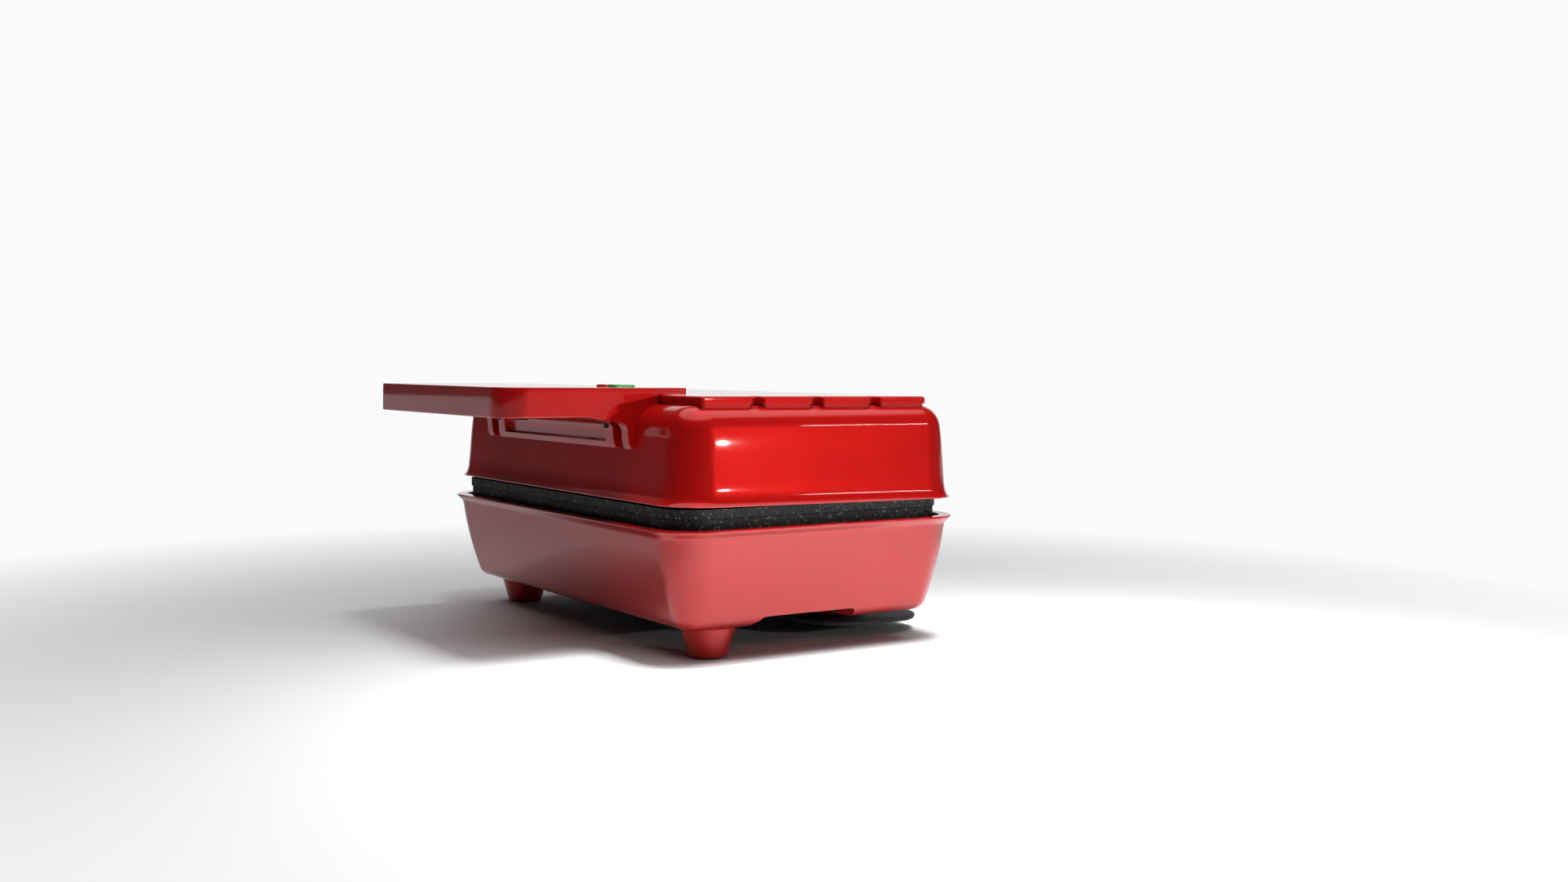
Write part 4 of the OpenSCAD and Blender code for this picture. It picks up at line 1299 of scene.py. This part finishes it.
@dataclass
class FeetAndCordWrap(SubAssembly):
    """The tapered front feet, and the drum and plate that the mains lead winds round."""

    body: Body = Body.BASE
    foot_x: float = 100.2
    foot_y: float = -44.7
    foot_top: float = 12.5
    foot_low: float = 9.0
    belly: float = 14.2

    def build(self) -> None:
        """Builds the feet, the drum and the plate."""
        tip, head, belly = self.foot_low, self.foot_top, self.belly
        slope = (head - tip) / (belly - 1.6)
        profile = [(7.5, 2.6), (7.5, 0.6), (tip - 1.0, 0.6), (tip - 0.45, 0.72),
                   (tip - 0.12, 1.05), (tip, 1.6)]
        profile += [(tip + slope * (z - 1.6), z) for z in (4.0, 7.0, 10.0, 12.5)]
        profile += [(head, belly - 0.35), (head - 0.35, belly), (1.7, belly), (1.7, 7.0),
                    (4.0, 7.0), (4.0, 2.6), (7.5, 2.6)]
        for name, side in (("left", -1), ("right", 1)):
            bm = bmesh.new()
            add_turned(bm, profile, (side * self.foot_x, self.foot_y, 0.0), steps=56)
            self.place(f"front_foot_{name}_moulding", bm, f"front_foot_{name}")
        self.drum()
        self.plate()

    def drum(self) -> None:
        """Builds the red drum between the belly and the plate."""
        plan = RoundedRectangle(154.0, 21.9, 10.45, 46.95, least_radius=4.0, corner_steps=16,
                                side_steps=4)
        bm = bmesh.new()
        levels = [(0.9, 7.7), (0.25, 7.95), (0.0, 8.6), (0.0, 13.5), (-0.5, self.belly)]
        add_loft(bm, [plan.ring(i, z) for i, z in levels], caps=True)
        self.place("cord_wrap_drum_moulding", bm, "cord_wrap_drum")

    def plate(self) -> None:
        """Builds the thin black plate under the drum."""
        plan = RoundedRectangle(191.0, 60.5, 20.0, 52.25, least_radius=4.0, corner_steps=18)
        bm = bmesh.new()
        levels = [(1.0, 5.5), (0.35, 5.65), (0.0, 6.15), (0.0, 7.05), (0.35, 7.55), (1.0, 7.7)]
        add_loft(bm, [plan.ring(i, z) for i, z in levels], caps=True)
        self.place("cord_wrap_plate_moulding", bm, "cord_wrap_plate", finish=BLACK,
                   slot="black_moulding")


@dataclass
class CarriedOver:
    """CAD pieces that stay as they are and only get their finish."""

    finishes: dict[str, FinishBase] = field(default_factory=lambda: {
        "bottom_cover": BLACK, "front_foot_pads": RUBBER, "rear_foot_left": RUBBER,
        "rear_foot_right": RUBBER, "cord_gland": BLACK, "lower_plate": SPECKLE,
        "upper_plate": SPECKLE,
        "lower_heater": HEATER_STEEL, "upper_heater": HEATER_STEEL, "lower_heater_saddles": CERAMIC,
        "upper_heater_saddles": CERAMIC, "lower_heat_shield": SHEET_METAL,
        "upper_heat_shield": SHEET_METAL, "thermostat": CERAMIC, "thermal_fuse": SHEET_METAL,
        "terminal_block": CERAMIC, "base_leads": SLEEVE, "upper_thermal_cutout": CERAMIC,
        "lamp_holder": BLACK, "red_lamp": LAMP_GLASS, "green_lamp": LAMP_GLASS, "red_lens": RED_LENS,
        "green_lens": GREEN_LENS, "hinge_bushes": NYLON, "foot_screws": SCREW_STEEL,
        "cover_screws": SCREW_STEEL, "cord_wrap_screws": SCREW_STEEL,
        "lower_plate_screws": SCREW_STEEL,
        "upper_plate_screws": SCREW_STEEL, "handle_screws": DARK_SCREW,
        "handle_cover_screws": DARK_SCREW, "hinge_pin_left": SCREW_STEEL,
        "hinge_pin_right": SCREW_STEEL})

    def dress(self) -> None:
        """Puts each finish on its CAD piece."""
        for node, finish in self.finishes.items():
            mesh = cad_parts[node].data
            mesh.materials.clear()
            mesh.materials.append(finish.material())
            LOG.info("%s keeps its CAD shape and gets %s", node, finish.name)


@dataclass
class Studio:
    """The floor, the lights, the surroundings and the camera."""

    camera_place: tuple[float, float, float] = (721.9, -399.0, 130.7)
    camera_pitch: float = 2.84
    camera_yaw: float = 57.63
    lens: float = 37.5

    def camera(self) -> None:
        """Sets up the camera."""
        data = bpy.data.cameras.new("studio_camera")
        data.lens, data.sensor_width, data.clip_start, data.clip_end = self.lens, 36.0, 0.02, 60.0
        camera = bpy.data.objects.new("studio_camera", data)
        bpy.context.scene.collection.objects.link(camera)
        camera.location = DATUM.base_matrix() @ Vector(self.camera_place)
        camera.rotation_euler = (math.radians(90 - self.camera_pitch), 0.0,
                                 math.radians(self.camera_yaw))
        bpy.context.scene.camera = camera

    def floor(self) -> None:
        """Lays a plain pale floor under the feet, clear when it is seen from below."""
        bm = bmesh.new()
        bmesh.ops.create_grid(bm, x_segments=8, y_segments=8, size=9.0)
        mesh = bpy.data.meshes.new("floor")
        bm.to_mesh(mesh)
        bm.free()
        material = bpy.data.materials.new("floor_paint")
        material.use_nodes = True
        material.node_tree.nodes.clear()
        sheet = ShaderSheet(material.node_tree)
        paint = sheet.add("BsdfDiffuse")
        sheet.feed(paint, Color=(0.74, 0.755, 0.765, 1.0))
        glow = sheet.add("Emission")
        sheet.feed(glow, Color=ROOM_COLOUR, Strength=ROOM_GLOW)
        place = sheet.add("TexCoord")
        reach = sheet.add("VectorMath", operation="LENGTH")
        sheet.join(place.outputs["Object"], reach.inputs[0])
        far = sheet.spread(reach.outputs["Value"], 0.0, 1.0, 0.15, 0.52)
        path = sheet.add("LightPath")
        share = sheet.math("MULTIPLY", far, path.outputs["Is Camera Ray"])
        above = sheet.layer(share, paint, glow)
        under = sheet.add("NewGeometry")
        sides = sheet.layer(under.outputs["Backfacing"], above, sheet.add("BsdfTransparent"))
        output = sheet.add("OutputMaterial")
        sheet.join(sides.outputs[0], output.inputs[0])
        mesh.materials.append(material)
        floor = bpy.data.objects.new("floor", mesh)
        bpy.context.scene.collection.objects.link(floor)

    def lamp(self, name: str, azimuth: float, elevation: float, distance: float, width: float,
             height: float, power: float, colour: tuple[float, float, float] = (1.0, 1.0, 1.0),
             shows: bool = True, aim: tuple[float, float, float] = (0.0, 0.0, 0.07),
             spread: float = 180.0) -> None:
        """Hangs a rectangular lamp that looks at the object.

        Args:
            name: the lamp's name.
            azimuth: direction from the object, in degrees from +X towards +Y.
            elevation: degrees above the floor.
            distance: metres from the object.
            width: metres across.
            height: metres high.
            power: watts.
            colour: its colour.
            shows: whether it shows in glossy faces.
            aim: the place it looks at, in metres.
            spread: opening of its beam, in degrees.
        """
        data = bpy.data.lights.new(name, "AREA")
        data.shape, data.size, data.size_y = "RECTANGLE", width, height
        data.energy, data.color = power, colour
        data.spread = math.radians(spread)
        lamp = bpy.data.objects.new(name, data)
        lamp.visible_glossy = shows
        bpy.context.scene.collection.objects.link(lamp)
        a, e = math.radians(azimuth), math.radians(elevation)
        way = Vector((math.cos(a) * math.cos(e), math.sin(a) * math.cos(e), math.sin(e)))
        lamp.location = Vector(aim) + way * distance
        lamp.rotation_mode = "QUATERNION"
        lamp.rotation_quaternion = way.to_track_quat("Z", "Y")

    def surroundings(self) -> None:
        """Lights the room: pale behind the object and overhead, dim on the camera's side."""
        world = bpy.data.worlds.new("studio_room")
        world.use_nodes = True
        world.node_tree.nodes.clear()
        sheet = ShaderSheet(world.node_tree)
        place = sheet.add("TexCoord")
        parts = sheet.add("SeparateXYZ")
        sheet.feed(parts, Vector=place.outputs["Generated"])
        back = sheet.math("ADD", sheet.math("MULTIPLY", parts.outputs[0], -0.875),
                          sheet.math("MULTIPLY", parts.outputs[1], 0.485))
        behind = sheet.spread(back, 0.0, 0.85, 0.78, 0.86)
        above = sheet.spread(parts.outputs[2], 0.0, 1.25, 0.74, 0.8)
        level = sheet.math("MAXIMUM", sheet.math("MAXIMUM", behind, above), 0.02)
        path = sheet.add("LightPath")
        shown = sheet.blend(path.outputs["Is Camera Ray"], level, ROOM_GLOW, "FLOAT")
        background = sheet.add("Background")
        sheet.feed(background, Color=ROOM_COLOUR, Strength=shown)
        output = sheet.add("OutputWorld")
        sheet.join(background.outputs[0], output.inputs[0])
        bpy.context.scene.world = world

    def build(self) -> None:
        """Sets up the whole studio."""
        self.camera()
        self.floor()
        self.surroundings()
        self.lamp("key_lamp", 26.0, 7.0, 1.3, 0.009, 0.009, 1.9, (1.0, 0.97, 0.93))
        self.lamp("strip_lamp", 37.0, 17.5, 1.3, 0.2, 0.006, 0.4)
        self.lamp("floor_lamp", 0.0, 88.0, 1.0, 0.3, 0.45, 2.3, shows=False,
                  aim=(0.34, 0.05, 0.0), spread=40.0)
        bpy.context.scene.view_settings.view_transform = "Standard"


def main() -> None:
    logging.basicConfig(level=logging.INFO, format="%(name)s: %(message)s")
    Studio().build()
    for part in (BaseCasing(), LidCasing(), TopPanel(), FrontHandle(), FeetAndCordWrap()):
        part.build()
    CarriedOver().dress()


if __name__ == "__main__":
    main()
